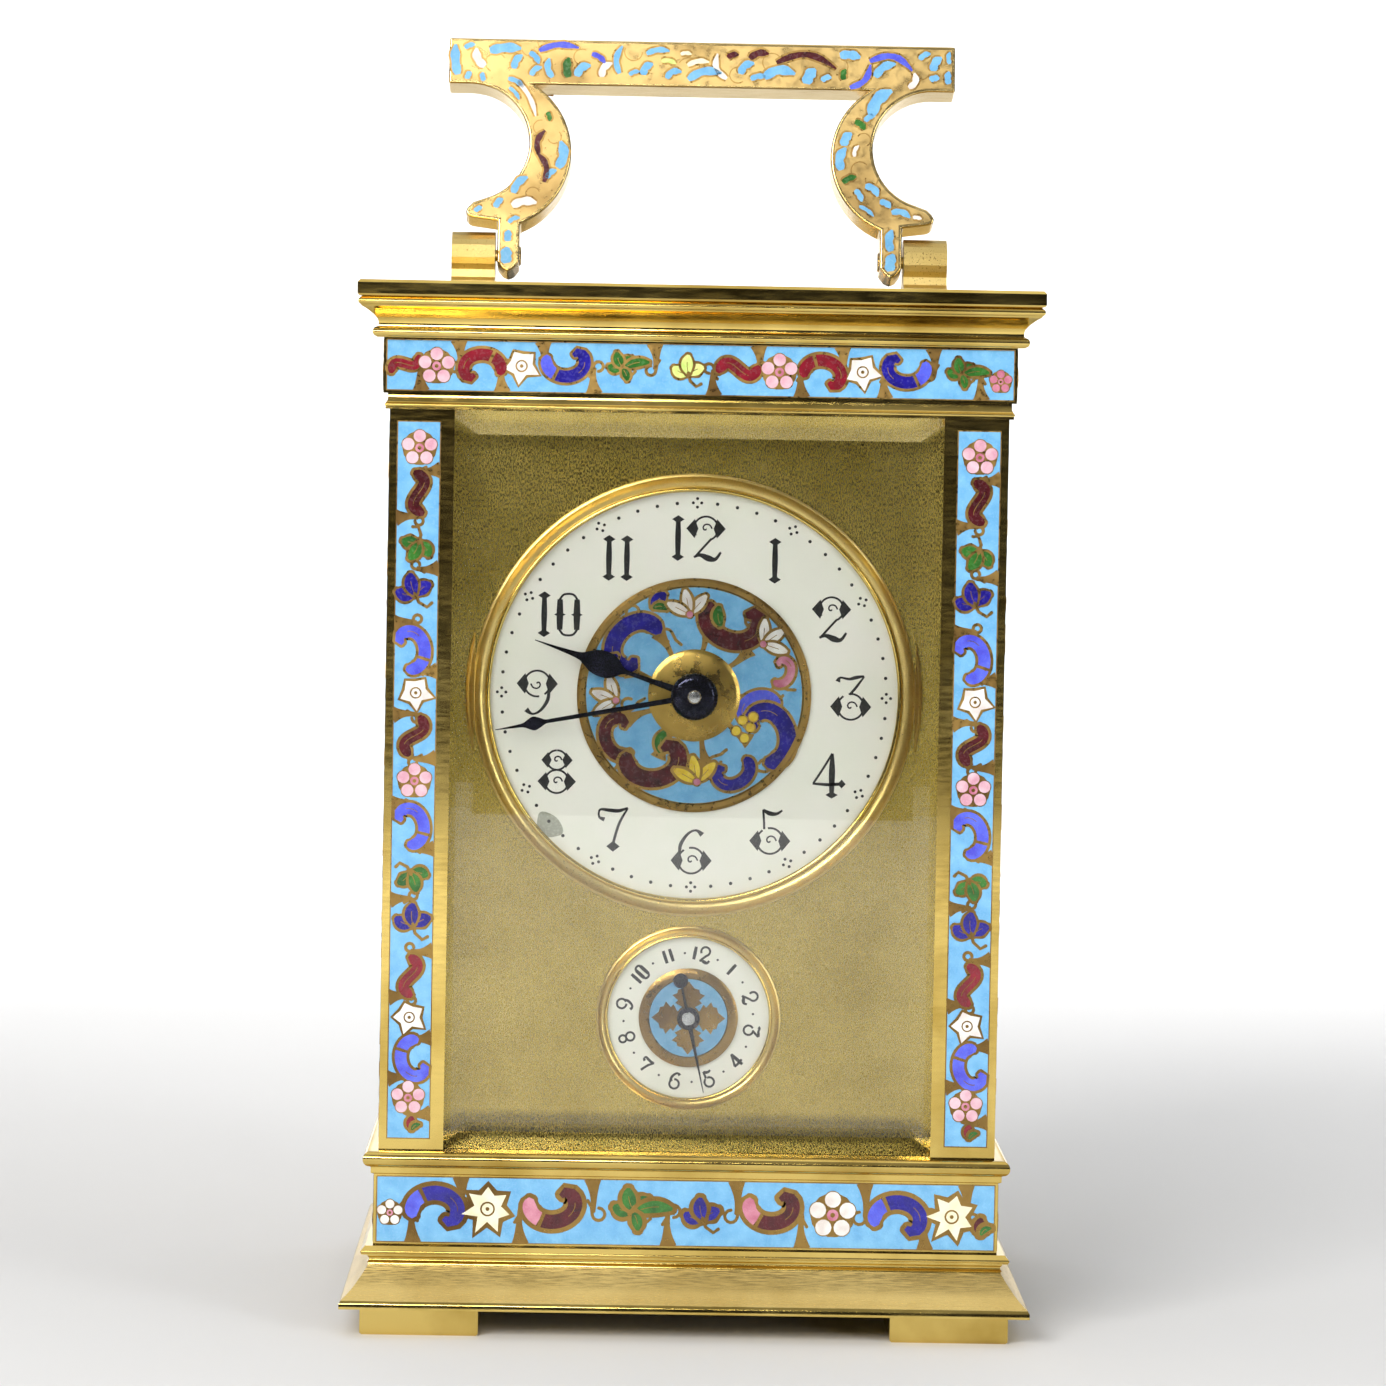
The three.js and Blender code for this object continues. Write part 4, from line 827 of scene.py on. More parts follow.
# Strokes (x, y, width) and filled outlines (x, y) of each figure, one unit high about its middle.
FIGURES = {
    "0": (
        [*ZERO_SIDE, *mirrored(ZERO_SIDE, -1, 1), *ZERO_TOP, *mirrored(ZERO_TOP, 1, -1)],
        [lozenge(-0.19, 0, 0.13, 0.07), lozenge(0.19, 0, 0.13, 0.07)],
    ),
    "1": (
        [[(0, 0.4, 0.1), (0, 0, 0.13), (0, -0.4, 0.1)]],
        [lozenge(0, 0.42, 0.14, 0.09), lozenge(0, -0.42, 0.14, 0.09)],
    ),
    "2": (
        [*loop(0.22, 0.27, 215, -60), thin((0.13, 0.0), (-0.05, -0.2), (-0.24, -0.42)),
         [(-0.26, -0.42, THIN), (-0.12, -0.37, 0.08), (0.06, -0.44, 0.14), (0.22, -0.46, 0.08),
          (0.34, -0.3, THIN)]],
        bowl_points(0.22, 0.27),
    ),
    "3": (
        [*loop(-0.2, 0.29),
         [(-0.3, 0.36, 0.12), (-0.24, 0.45, THIN), (-0.05, 0.42, 0.06), (0.12, 0.46, 0.08),
          (0.29, 0.49, 0.04)],
         [(0.29, 0.48, 0.04), (0.1, 0.22, 0.06), (-0.03, 0.07, THIN)]],
        bowl_points(-0.2, 0.29),
    ),
    "4": (
        [thin((0.08, 0.5), (-0.12, 0.16), (-0.33, -0.17)),
         [(-0.35, -0.18, THIN), (0, -0.2, 0.07), (0.28, -0.18, 0.07)],
         [(0.08, 0.5, 0.06), (0.08, 0.1, 0.14), (0.08, -0.42, 0.1)]],
        [lozenge(0.3, -0.18, 0.09, 0.1), lozenge(0.08, -0.43, 0.14, 0.08)],
    ),
    "5": (
        [*loop(-0.2, 0.29), [(-0.16, 0.5, THIN), (-0.02, 0.42, 0.1), (0.14, 0.41, 0.07), (0.27, 0.49, 0.04)],
         thin((-0.16, 0.5), (-0.14, 0.28), (-0.13, 0.06))],
        bowl_points(-0.2, 0.29),
    ),
    "6": SIX,
    "7": (
        [[(-0.2, 0.22, 0.1), (-0.32, 0.28, THIN), (-0.3, 0.44, THIN), (-0.1, 0.43, 0.08), (0.12, 0.42, 0.08),
          (0.32, 0.49, 0.04)],
         [(0.32, 0.48, 0.04), (0.14, 0.16, 0.06), (0.03, -0.2, 0.06), (0, -0.36, 0.07)]],
        [lozenge(0, -0.38, 0.15, 0.12)],
    ),
    "8": (
        [*loop(0.25, 0.22, 90, -268), *loop(-0.23, 0.26, 90, -268)],
        bowl_points(0.25, 0.22, 0.13) + bowl_points(-0.23, 0.26),
    ),
    "9": (mirrored(SIX[0], -1, -1), mirrored(SIX[1], -1, -1)),
}
FIGURE_WIDTH = {"1": 0.4, "0": 0.68}
OTHER_WIDTH = 0.84
SUNK = -0.05  # print and cells start this far inside the face that they stand on


def write_number(builder, place, number, radius, hour, height, radial):
    """A number at its hour: upright and ornate, or plain and turned with the dial, never upside down."""
    text = str(number)
    a = math.radians(30 * hour)
    turn = -30 * hour if radial else 0.0
    if radial and 4 <= round(hour - 0.4) <= 7:
        turn += 180
    wide = [FIGURE_WIDTH.get(c, OTHER_WIDTH) for c in text]
    at = -sum(wide) / 2
    middle = Spot(radius * math.sin(a), radius * math.cos(a), turn, height)
    for c, w in zip(text, wide):
        shift = at + w / 2
        at += w
        strokes, fills = FIGURES[c]
        for stroke in strokes:
            if radial and stroke[0][2] == CURL_WIDTH:
                continue
            line = spline(stroke, 4)
            points = middle.line([(x + shift, y) for x, y, _ in line])
            widths = [(0.9 * t + 0.09 if radial else t) * height for _, _, t in line]
            builder.ribbon(points, widths, SUNK, 0.02, BLACK, place)
        for fill in [] if radial else fills:
            builder.prism(middle.line([(x + shift, y) for x, y in fill]), SUNK, 0.021, BLACK, place)


def dot(builder, place, radius, degrees, r):
    a = math.radians(degrees)
    builder.disc(radius * math.sin(a), radius * math.cos(a), r, SUNK, 0.02, BLACK, place, 10)


def dial_disc(r, hole, z):
    """A slightly rounded white disc with a turned-down edge."""
    profile = [(hole, 0), (r - 0.5, 0), (r - 0.2, 0.05), (r, 0.25), (r, 0.75), (hole, 0.75)]
    builder = Builder()
    builder.turn(profile, (0, FACE_Y, z), WHITE, 128)
    return builder


MAIN_RADIUS = 29.35
MAIN_HOLE = 2.6
NUMERALS = 22.1  # radius of the numerals' middles
NUMERAL_HEIGHT = 6.3
MINUTES = 27.1
ALARM_RADIUS = 11.95
ALARM_HOLE = 1.3
ALARM_NUMERALS = 9.15
ALARM_HEIGHT = 2.3
FLAKE = Spot(-20.1, -18.7, -42)


def build_main_dial():
    place = facing_front(0, FACE_Y, DIAL_Z)
    builder = dial_disc(MAIN_RADIUS, MAIN_HOLE, DIAL_Z)
    for hour in range(1, 13):
        write_number(builder, place, hour, NUMERALS, hour, NUMERAL_HEIGHT, radial=False)
    for minute in range(60):
        if minute % 5:
            dot(builder, place, MINUTES, 6 * minute, 0.25)
        else:
            for radius, shift in ((26.5, 0), (27.7, 0), (MINUTES, 1.25), (MINUTES, -1.25)):
                dot(builder, place, radius, 6 * minute + shift, 0.22)
    flake = []
    for a in [math.radians(15 * k) for k in range(24)]:
        flake.append((math.cos(a) * (2.1 + 0.25 * math.sin(3 * a)), math.sin(a) * 1.5))
    builder.prism(FLAKE.line(flake), -0.02, 0.012, CHIP, place)
    builder.make("dial_white", slot="dial_porcelain", replaces=["main_dial"], smooth=30)


def build_alarm_dial():
    place = facing_front(0, FACE_Y, ALARM_Z)
    builder = dial_disc(ALARM_RADIUS, ALARM_HOLE, ALARM_Z)
    for hour in range(1, 13):
        write_number(builder, place, hour, ALARM_NUMERALS, hour + ALARM_TILT / 30, ALARM_HEIGHT, radial=True)
        dot(builder, place, ALARM_NUMERALS, 30 * hour + ALARM_TILT + 15, 0.17)
    builder.make("alarm_white", slot="dial_porcelain", replaces=["alarm_dial"], smooth=30)


def build_bezels():
    """Stepped rings round the dials: a bright bead, then a wide hollow that rises to the mask's edge."""
    for name, node, sight, outer, height, z in (
        ("dial_ring", "main_bezel", 28.7, 31.2, 1.5, DIAL_Z),
        ("alarm_ring", "alarm_bezel", 11.4, 13.0, 1.05, ALARM_Z),
    ):
        wide = outer - sight
        bead_at = (sight + 0.12 * wide, -0.5 * height)
        profile = [(sight, SUNK), *arc(*bead_at, 0.12 * wide, 180, 320, 8)]
        for t in steps(12):
            profile.append((sight + wide * (0.3 + 0.55 * t), -0.3 * height - 0.66 * height * t**2.2))
        profile += [(outer - 0.05 * wide, -0.9 * height), (outer, -0.5 * height), (outer, SUNK)]
        builder = Builder()
        builder.turn(profile, (0, FACE_Y, z), BEZEL, 144)
        bright = [(sight - 0.02, -0.06), *arc(*bead_at, 0.13 * wide, 180, 330, 8)]
        builder.turn([*bright, (sight + 0.28 * wide, -0.06)], (0, FACE_Y, z), POLISHED, 144)
        builder.make(name, slot="bezel_gilt", replaces=[node], smooth=40)


DIAL_MOTIFS = [
    (scroll, "navy", -8.9, 7.6, 45, 1.5), (bud, "navy", -6, 12.2, -40, 1.25),
    (lily, "white", -0.8, 11.4, 12, 1.15), (scroll, "maroon", 5, 9.9, 160, 1.55),
    (leaf, "green", 3.6, 9.6, 95, 1), (lily, "white", 9.6, 7.4, -55, 1.15, True),
    (scroll, "rose", 12.6, 3.4, -110, 0.7), (scroll, "periwinkle", 9, -1.3, 20, 1),
    (scroll, "navy", 11.2, -5.4, -75, 1.5), (scroll, "navy", 6, -11, -150, 1, True),
    (lily, "yellow", 0.6, -12.2, 10, 1.2), (scroll, "maroon", -5.6, -9.9, 185, 1.5),
    (leaf, "green", -4.6, -8.4, 80, 1.1), (scroll, "maroon", -10.9, -6.2, 110, 1.1, True),
    (lily, "white", -11, -0.9, 70, 1.15), (leaf, "navy", -12.6, 2.6, 60, 1.1),
]
BERRIES = ((6.9, -3.4), (8.0, -4.4), (6.0, -4.9), (7.2, -5.9), (8.4, -2.9))
CURLS = ((-3.2, 8.4, 20), (8.6, 11.2, 200), (3.2, -8.6, 100), (-8.4, -1.6, 150), (12.4, 1.2, 60),
         (-9.6, 11.2, 10), (9.6, -10.4, 250), (-10.4, -10, 330))
CENTRE_TOP = 0.4  # the ground's height over the dial's face
ALARM_CENTRE_TOP = 0.36


def build_dial_centre():
    """The enamelled disc in the main dial: turning scrolls, lilies and berries round a brass boss."""
    place = facing_front(0, FACE_Y, DIAL_Z)
    builder = Builder()
    plate = [(MAIN_HOLE, SUNK), (MAIN_HOLE, -0.42), (15.3, -0.42), (15.45, -0.62), (16.1, -0.66)]
    builder.turn([*plate, (16.5, -0.4), (16.5, SUNK)], (0, FACE_Y, DIAL_Z), EDGE, 128)
    inlay = Inlay(builder, place, CENTRE_TOP, 0.42)
    inlay.ground(circle(15.2, 96))
    for k in range(9):
        inlay.restart(0, k)
        bridge(inlay, Spot(6.3 * math.cos(0.7 * k), 6.3 * math.sin(0.7 * k), 40.1 * k - 90, 1.2), 3.2)
    for k, (motif, colour, u, v, turn, size, *mirrored) in enumerate(DIAL_MOTIFS):
        inlay.restart(2 + 3 * (k % 3), k)
        motif(inlay, Spot(u, v, turn, size, bool(mirrored)), colour)
    for k, (u, v, turn) in enumerate(CURLS):
        inlay.restart(1, k)
        hook(inlay, Spot(u, v, turn, 1.5, k % 2 == 0))
    inlay.restart(24, 0)
    for u, v in BERRIES:
        inlay.spot(u, v, 0.62, "yellow", 0.2)
    boss = [(MAIN_HOLE, -0.4), (MAIN_HOLE, -0.95), (5.7, -0.9), (6.1, -0.8), (6.5, -0.6), (6.5, -0.4)]
    builder.turn(boss, (0, FACE_Y, DIAL_Z), BOSS, 96)
    builder.make("dial_centre_enamel", slot="centre_enamel", replaces=["dial_centre"], smooth=30)


def build_alarm_centre():
    """The enamelled disc in the alarm dial, with four brass petals."""
    place = facing_front(0, FACE_Y, ALARM_Z)
    builder = Builder()
    plate = [(ALARM_HOLE, SUNK), (ALARM_HOLE, -0.38), (5.5, -0.38), (5.65, -0.6), (6.3, -0.64)]
    builder.turn([*plate, (7, -0.35), (7, SUNK)], (0, FACE_Y, ALARM_Z), EDGE, 96)
    inlay = Inlay(builder, place, ALARM_CENTRE_TOP)
    inlay.ground(circle(5.5, 64))
    half = [(0.6, 0.5), (1.6, 1), (2.1, 1.9), (2.5, 1.5), (3.2, 2.3), (3.5, 1.6), (4, 1.5), (4.2, 0.8)]
    petal = [*half, (5.2, 0), *[(u, -v) for u, v in reversed(half)]]
    for k in range(4):
        inlay.restart(k, 0)
        quarter = Spot(0, 0, 90 * k)
        builder.prism(quarter.line(petal), ALARM_CENTRE_TOP, inlay.heights()[1], EDGE, place)
        inlay.vein(quarter.line([(1.8, 0), (4.6, 0)]))
    inlay.spot(0, 0, 1.45, None)
    builder.make("alarm_centre_enamel", slot="centre_enamel", replaces=["alarm_centre"], smooth=30)


# ------------------------------------------------------------ hands

HOUR_AT = (0, -29.3, DIAL_Z)
MINUTE_AT = (0, -30.3, DIAL_Z)
ALARM_AT = (0, -28.4, ALARM_Z)
BEVEL_HIGH = 0.06  # where a blade's bevel starts


def hand_place(degrees, at):
    """Maps (along the hand, across it, out of the dial)."""
    a = math.radians(degrees)
    s, c = math.sin(a), math.cos(a)
    return lambda u, v, w: (at[0] + u * s + v * c, at[1] - w, at[2] + u * c - v * s)


def add_blade(builder, outline, place, thick):
    """A hand's blade with bevelled edges, from (distance, half width) along it."""
    rings = []
    for u, half in spline(outline, 5):
        flat = max(0.02, half - 0.16)
        half = max(0.04, half)
        left = [(-half, -0.1), (-half, BEVEL_HIGH), (-flat, thick)]
        section = left + [(-v, w) for v, w in reversed(left)]
        rings.append([place(u, v, w) for v, w in section])
    builder.swept(rings, BLUED, closed=False)


def build_hands():
    blade = [(1.5, 0.55), (9, 0.3), (10.6, 0.5), (11.4, 1.15), (12.4, 1.7), (13.7, 1.85), (15, 1.6),
             (16.2, 0.95), (17.2, 0.5), (20, 0.24), (23.7, 0.06)]
    builder = Builder()
    add_blade(builder, blade, hand_place(HOUR_ANGLE, HOUR_AT), 0.23)
    eye = [(2.35, -0.24), (2.8, -0.24), (3, 0), (3, 0.24), (2.35, 0.24)]
    builder.turn(eye, HOUR_AT, BLUED, 64)
    builder.make("hour_hand_blade", "hour", "blued_steel", ["hour_hand"], smooth=35)

    blade = [(1.2, 0.4), (19.9, 0.28), (21.1, 0.3), (22, 0.72), (22.8, 0.98), (23.5, 0.72), (24.3, 0.32),
             (25.4, 0.2), (28.3, 0.06)]
    builder = Builder()
    add_blade(builder, blade, hand_place(MINUTE_ANGLE, MINUTE_AT), 0.23)
    collet = [(0.95, 0.2), (3.2, 0.2), (3.3, 0.1), (3.3, -0.65), *arc(2.35, -0.5, 0.9, 0, -90, 6)]
    builder.turn([*collet, (0.95, -1.4)], MINUTE_AT, BLUED, 64)
    builder.make("minute_hand_blade", "centre", "blued_steel", ["minute_hand"], smooth=35)
    tip = [(0, -1.68), (0.55, -1.67), (0.8, -1.63), (0.98, -1.45), (0.98, -0.8), (0, -0.8)]
    builder = Builder()
    builder.turn(tip, MINUTE_AT, STEEL, 32)
    builder.make("centre_arbor_tip", "centre", "arbor_steel", smooth=35)

    needle = [(-4.6, 0.14), (-2, 0.2), (0.8, 0.32), (4, 0.22), (10.7, 0.06)]
    builder = Builder()
    add_blade(builder, needle, hand_place(ALARM_ANGLE, ALARM_AT), 0.2)
    eye = [(0.95, -0.22), (1.4, -0.22), (1.6, -0.05), (1.6, 0.2), (0.95, 0.2)]
    builder.turn(eye, ALARM_AT, BLUED, 48)
    builder.disc(-5.5, 0, 1.05, -0.1, 0.2, BLUED, hand_place(ALARM_ANGLE, ALARM_AT), 32)
    builder.make("alarm_hand_blade", "alarm_setting", "blued_steel", ["alarm_hand"], smooth=35)


# ------------------------------------------------------------ handle

GRIP_HALF = 3.0  # half the grip's thickness
# width of the dark brass rim round each handle cell, painted shade in the cell's recess
CELL_SHADE_RIM = 0.3
ENGRAVED = 0.17  # width of an engraved line
SCREW_AT = 25.95  # the pivot screws' heads, from the middle


def handle_place(side):
    """Maps (across, up, out of a face) on the leaning handle. side is -1 for its front, 1 for its back."""
    c, s = math.cos(HANDLE_LEAN), math.sin(HANDLE_LEAN)

    def place(u, v, w):
        y = side * (GRIP_HALF + w)
        return -side * u, y * c + v * s, PIVOT_Z - y * s + v * c

    return place


def handle_outline():
    """The grip's outline: a bar on two scrolled legs, with the bow between them."""
    left = [
        *arc(-30.7, 15, 11.8, 58.5, -67.6, 22), (-26.2, 3.4), (-26.2, -1.6), (-27.0, -2.6), (-27.8, -3),
        (-28.6, -2.6), (-29.4, -1.6), (-29.4, 4.5), (-33.2, 5.0), (-33.9, 5.35), (-34.1, 5.9), (-33.7, 6.6),
        (-33.0, 7.3), *arc(-33.8, 16.3, 8.75, -73, 84, 22), (-33.6, 25.05), (-37, 25.05), (-37, 31.9),
    ]
    return left + [(-u, v) for u, v in reversed(left)]


# Worn cells in the grip's faces: across, up, length, width, turn, bend, and colour where it isn't sky.
HANDLE_CELLS = [
    (-35.9, 28.6, 4.6, 1.4, 95, 0.2), (-34, 26.2, 1.2, 0.9, 60, 0.2), (-31.9, 26.1, 1.3, 0.8, 100, 0.2),
    (-32.4, 29, 3, 1.3, 115, 0.5, "white"), (-34, 30.6, 1.6, 0.8, 20, 0.2), (-28.8, 30.2, 4.6, 1.5, 5, 0.3),
    (-26.9, 28.4, 2.4, 1.1, 60, 0.4), (-24.6, 29, 2.2, 0.9, -50, 0.3), (-24.2, 27, 2, 0.9, 40, 0.4),
    (-21, 30.4, 5.8, 0.95, 5, 0.7, "periwinkle"), (-22.1, 27.6, 2.9, 1, 100, 0.5),
    (-19.5, 27.7, 3, 1.25, 90, 0.3, "green"), (-17.3, 27.2, 2.6, 1.3, 40, 0.6),
    (-15.2, 29.1, 2.4, 0.85, -35, 0.3, "periwinkle"), (-13.9, 27.4, 2.6, 1.1, 55, 0.6, "white"),
    (-11.9, 29, 4.2, 0.9, 85, 0.7), (-9.9, 27, 1.6, 0.7, 20, 0.2), (-7.9, 27.6, 2.2, 1.2, 50, 0.5),
    (-6.5, 30.2, 3.4, 0.9, 8, 0.4), (-4.9, 28.7, 2.2, 0.7, -10, 0.3, "lime"), (-4.1, 26.8, 2.4, 1, 25, 0.6),
    (-2.4, 30, 1.6, 0.6, 0, 0.2, "cream"), (-0.6, 28.6, 3.2, 0.8, 10, 0.4, "cream"),
    (0.4, 26.7, 5, 1.3, 12, 0.8), (2.9, 28.3, 4, 0.9, 110, 0.9, "white"),
    (4.5, 29.8, 1.7, 0.9, 15, 0.3, "maroon"), (6.6, 28, 2.6, 1.2, 40, 0.6),
    (8.3, 29.9, 2.9, 1.1, 15, 0.5, "maroon"), (8.2, 26.6, 2.2, 0.9, 10, 0.3), (11.3, 27, 4.6, 1.5, 8, 0.9),
    (15.2, 28.6, 8.8, 1, -5, 1.7, "maroon"), (15.9, 27, 2.6, 1.7, 60, 0.3), (18.2, 26.6, 1.5, 0.9, 20, 0.3),
    (21.6, 30.1, 3, 1.4, -5, 0.3), (20.9, 27.4, 1.6, 0.9, 80, 0.3, "green"),
    (23.1, 27.2, 4.6, 0.95, 50, -0.9, "periwinkle"), (27.6, 28.8, 6.4, 1, -12, 1.5, "periwinkle"),
    (26.8, 28.1, 3.6, 1.3, 35, 0.6), (30.6, 26.7, 2.4, 1, 70, -0.6, "white"), (32.6, 30.3, 1.8, 0.9, 30, 0.3),
    (34.4, 29.2, 2.4, 1.3, 60, 0.4), (34, 26.9, 1.4, 1, 10, 0.2), (36.1, 27.2, 1.9, 1, 90, 0.2),
    (36.2, 30.2, 1.8, 0.7, 90, 0.2), (-27.2, 25.2, 2.6, 0.8, -30, 0.3),
    (-25.6, 22.9, 6, 0.7, -62, 0.5, "white"), (-27.4, 23.6, 2.4, 0.6, -50, 0.2),
    (-22.4, 20.2, 1.4, 0.7, -75, 0.2, "green"), (-23.2, 16.4, 3.6, 0.9, 76, 0.7, "maroon"),
    (-23.4, 12.6, 4.6, 0.9, 105, -0.9, "maroon"), (-20.7, 14.6, 4, 1.5, 85, -0.7),
    (-21.7, 11.6, 1.9, 0.9, 40, 0.3), (-26.2, 9.9, 3.2, 1.2, 50, 0.5), (-25.6, 7, 3.6, 1.3, 8, 0.5, "white"),
    (-29.2, 7.1, 1.7, 1, 50, 0.3), (-32.2, 6.1, 1.2, 0.8, 30, 0.2), (-27, 4.6, 1.8, 0.7, 25, 0.3),
    (-27.8, 2.3, 1.7, 1.1, 85, 0.1), (-27.9, -0.6, 2.4, 1.7, 88, 0.2), (26.3, 23.2, 4.8, 1.9, 52, 0.8),
    (24.6, 20.8, 1.6, 0.9, 30, 0.3), (23.1, 19.7, 1.9, 1, -40, 0.3, "green"), (21.4, 17.6, 2.2, 1.4, 60, 0.4),
    (20.8, 14.7, 3.4, 1.4, 80, 0.6), (22.7, 15.9, 1.8, 0.6, 70, 0.3, "white"),
    (21.7, 11.6, 2.2, 0.9, 25, 0.2, "green"), (23, 9.2, 2, 0.9, -60, 0.2), (24.9, 9.9, 2.4, 1.1, -40, 0.5),
    (26.9, 7.9, 1.8, 1, -30, 0.3), (24.2, 6.9, 2.6, 0.6, -35, 0.2), (29.2, 6.4, 2.8, 1, -15, 0.5),
    (31.6, 6, 1.3, 0.6, -10, 0.1, "white"), (27.9, 2.6, 3.2, 1.3, 88, 0.4), (28, -0.7, 2.6, 1.6, 80, 0.3),
]
# Thin engraved curls between the cells: across, up, radius, start in degrees.
ENGRAVING = (
    (-30.2, 28.2, 1.5, 30), (-25.2, 30.6, 1.3, 200), (-17.6, 29.3, 1.2, 60), (-10.1, 30.2, 1.3, 150),
    (-2.0, 27.9, 1.6, 300), (5.2, 27.0, 1.2, 100), (10.2, 29.0, 1.4, 20), (20.0, 28.6, 1.3, 250),
    (31.9, 28.2, 1.4, 130), (-23.4, 18.6, 1.1, 80), (-21.4, 17.2, 1.0, 200), (23.2, 13.0, 1.3, 40),
    (23.7, 17.6, 1.0, 300), (-24.4, 8.6, 1.0, 20), (24.9, 11.6, 0.9, 160),
)


def cell_widths(width):
    """Blunt at one end, pointed at the other, and a little uneven between."""
    shape = [math.sin(math.pi * (0.14 + 0.8 * t)) ** 0.7 for t in steps(8)]
    return [max(0.1, width * h * (1 + 0.18 * math.sin(11 * t))) for h, t in zip(shape, steps(8))]


def build_handle():
    outline = handle_outline()
    builder = Builder()
    builder.prism([(-u, v) for u, v in outline], -2 * GRIP_HALF, 0.0, HANDLE, handle_place(1))
    builder.make("handle_grip", "carrying_handle", "handle_brass", ["handle"], bevel=0.45)
    for side, face in ((-1, "front"), (1, "back")):
        builder = Builder()
        place = handle_place(side)
        builder.prism([(-side * u, v) for u, v in shrunk(outline, 0.5)], SUNK, 0.01, WORN, place)
        for u, v, length, width, turn, bend, *colour in HANDLE_CELLS:
            path = [(length * (t - 0.5), bend * math.sin(math.pi * t)) for t in steps(8)]
            line = Spot(u, v, turn).line(path)
            widths = cell_widths(width)
            # A rim of dark brass round each cell: painted shade where the cell sinks into the face.
            builder.ribbon(line, [w + 2 * CELL_SHADE_RIM for w in widths], SUNK, 0.025, EDGE, place)
            builder.ribbon(line, widths, SUNK, 0.03, ENAMELS[colour[0] if colour else "sky"], place)
        for u, v, r, start in ENGRAVING:
            builder.ribbon(arc(u, v, r, start, start + 210, 14), ENGRAVED, SUNK, 0.02, EDGE, place)
        builder.make(f"handle_enamel_{face}", "carrying_handle", "handle_brass", smooth=30)


def shrunk(outline, inset):
    """The outline moved inwards by inset. It runs clockwise."""
    out = []
    for i, (x, y) in enumerate(outline):
        here = Vector((x, y))
        first = (here - Vector(outline[i - 1])).normalized()
        second = (Vector(outline[(i + 1) % len(outline)]) - here).normalized()
        inward = Vector((first.y, -first.x))
        normal = (inward + Vector((second.y, -second.x))).normalized()
        reach = inset / max(0.5, normal.dot(inward))
        out.append((x + normal.x * reach, y + normal.y * reach))
    return out


def build_handle_screws():
    """Pivot screws through the handle's legs into its lugs, nearly flush on the inside."""
    stem = [(0, 0), (1.25, 0), (1.4, 0.15), (1.4, 0.5), (0.85, 0.5), (0.85, 8.6), (0, 8.6)]
    for name, sign in (("left", -1), ("right", 1)):
        builder = Builder()
        profile = [(r, sign * t) for r, t in stem]
        builder.turn(profile, (sign * SCREW_AT, 0, PIVOT_Z), HANDLE, 28, "X")
        builder.make(f"pivot_screw_{name}", replaces=[f"handle_screw_{name}"], smooth=35)


# ------------------------------------------------------------ small parts

PILLAR_SCREW_X = 28
PILLAR_SCREW_Z = (29, 110)
SCREW_INSET = 2.5  # the platform's and the cock's screws, from their edges
SPRING_TURNS = 7.5
SPRING_STEPS = 160
SPRING_START, SPRING_GROWTH = 0.9, 4.0
SPRING_Z = 121.6
JEWEL_FORWARD = 7.2  # from the balance's front edge


def add_screw(builder, place, r, high, turn):
    """A steel screw head with a cut slot, standing at a place's origin."""
    start = math.degrees(math.asin(0.14))
    seat = 0.45 * high
    builder.disc(0, 0, r, -0.02, seat, STEEL, place, 24)
    for side in (1, -1):
        half = [(side * u, side * v) for u, v in arc(0, 0, r, start, 180 - start, 12)]
        builder.prism(Spot(0, 0, turn).line(half), seat, high, STEEL, place)


def build_plate_screws():
    """Screws in the movement's back plate and platform, and in the balance cock."""
    deck_low, deck_high = box_mm("platform")
    cock_low, cock_high = box_mm("balance_cock")
    washer = [(2.4, 0), (3.1, 0), (3.1, 0.35), (2.4, 0.5)]
    builder = Builder()
    for x in (-PILLAR_SCREW_X, PILLAR_SCREW_X):
        for z in PILLAR_SCREW_Z:
            add_screw(builder, facing_back(x, BACK_PLATE_FACE, z), 2.3, 1.0, 15 + x + z)
            builder.turn(washer, (x, BACK_PLATE_FACE, z), WORKS, 32)
    for x in (deck_low.x + SCREW_INSET, deck_high.x - SCREW_INSET):
        for y in (deck_low.y + SCREW_INSET, deck_high.y - SCREW_INSET):
            add_screw(builder, facing_up(x, y, deck_high.z), 1.3, 0.7, 30 + x)
    cock_x = (cock_low.x + cock_high.x) / 2
    add_screw(builder, facing_up(cock_x, cock_high.y - SCREW_INSET, cock_high.z), 1.4, 0.8, 70)
    builder.make("movement_screws", slot="arbor_steel", smooth=35)


def build_hairspring():
    """The flat blued spiral over the balance."""
    low, high = box_mm("balance_wheel")
    points = []
    for k in range(SPRING_STEPS + 1):
        a = 2 * math.pi * SPRING_TURNS * k / SPRING_STEPS
        r = SPRING_START + SPRING_GROWTH * k / SPRING_STEPS
        points.append((r * math.cos(a), r * math.sin(a)))
    builder = Builder()
    place = facing_up((low.x + high.x) / 2, (low.y + high.y) / 2, SPRING_Z)
    builder.ribbon(points, 0.09, 0, 0.35, SPRING, place)
    builder.make("hairspring", "balance", "gong_steel")


def build_jewel():
    """The red jewel in the balance's cock."""
    low, high = box_mm("balance_cock")
    at = ((low.x + high.x) / 2, box_mm("balance_wheel")[0].y + JEWEL_FORWARD, high.z)
    builder = Builder()
    builder.turn([(0.62, -0.1), (1.05, -0.1), (1.05, 0.12), (0.62, 0.05)], at, RUBY, 28, "Z")
    builder.make("cock_jewel", slot="wheel_brass", smooth=35)


# ------------------------------------------------------------ carried-over CAD nodes

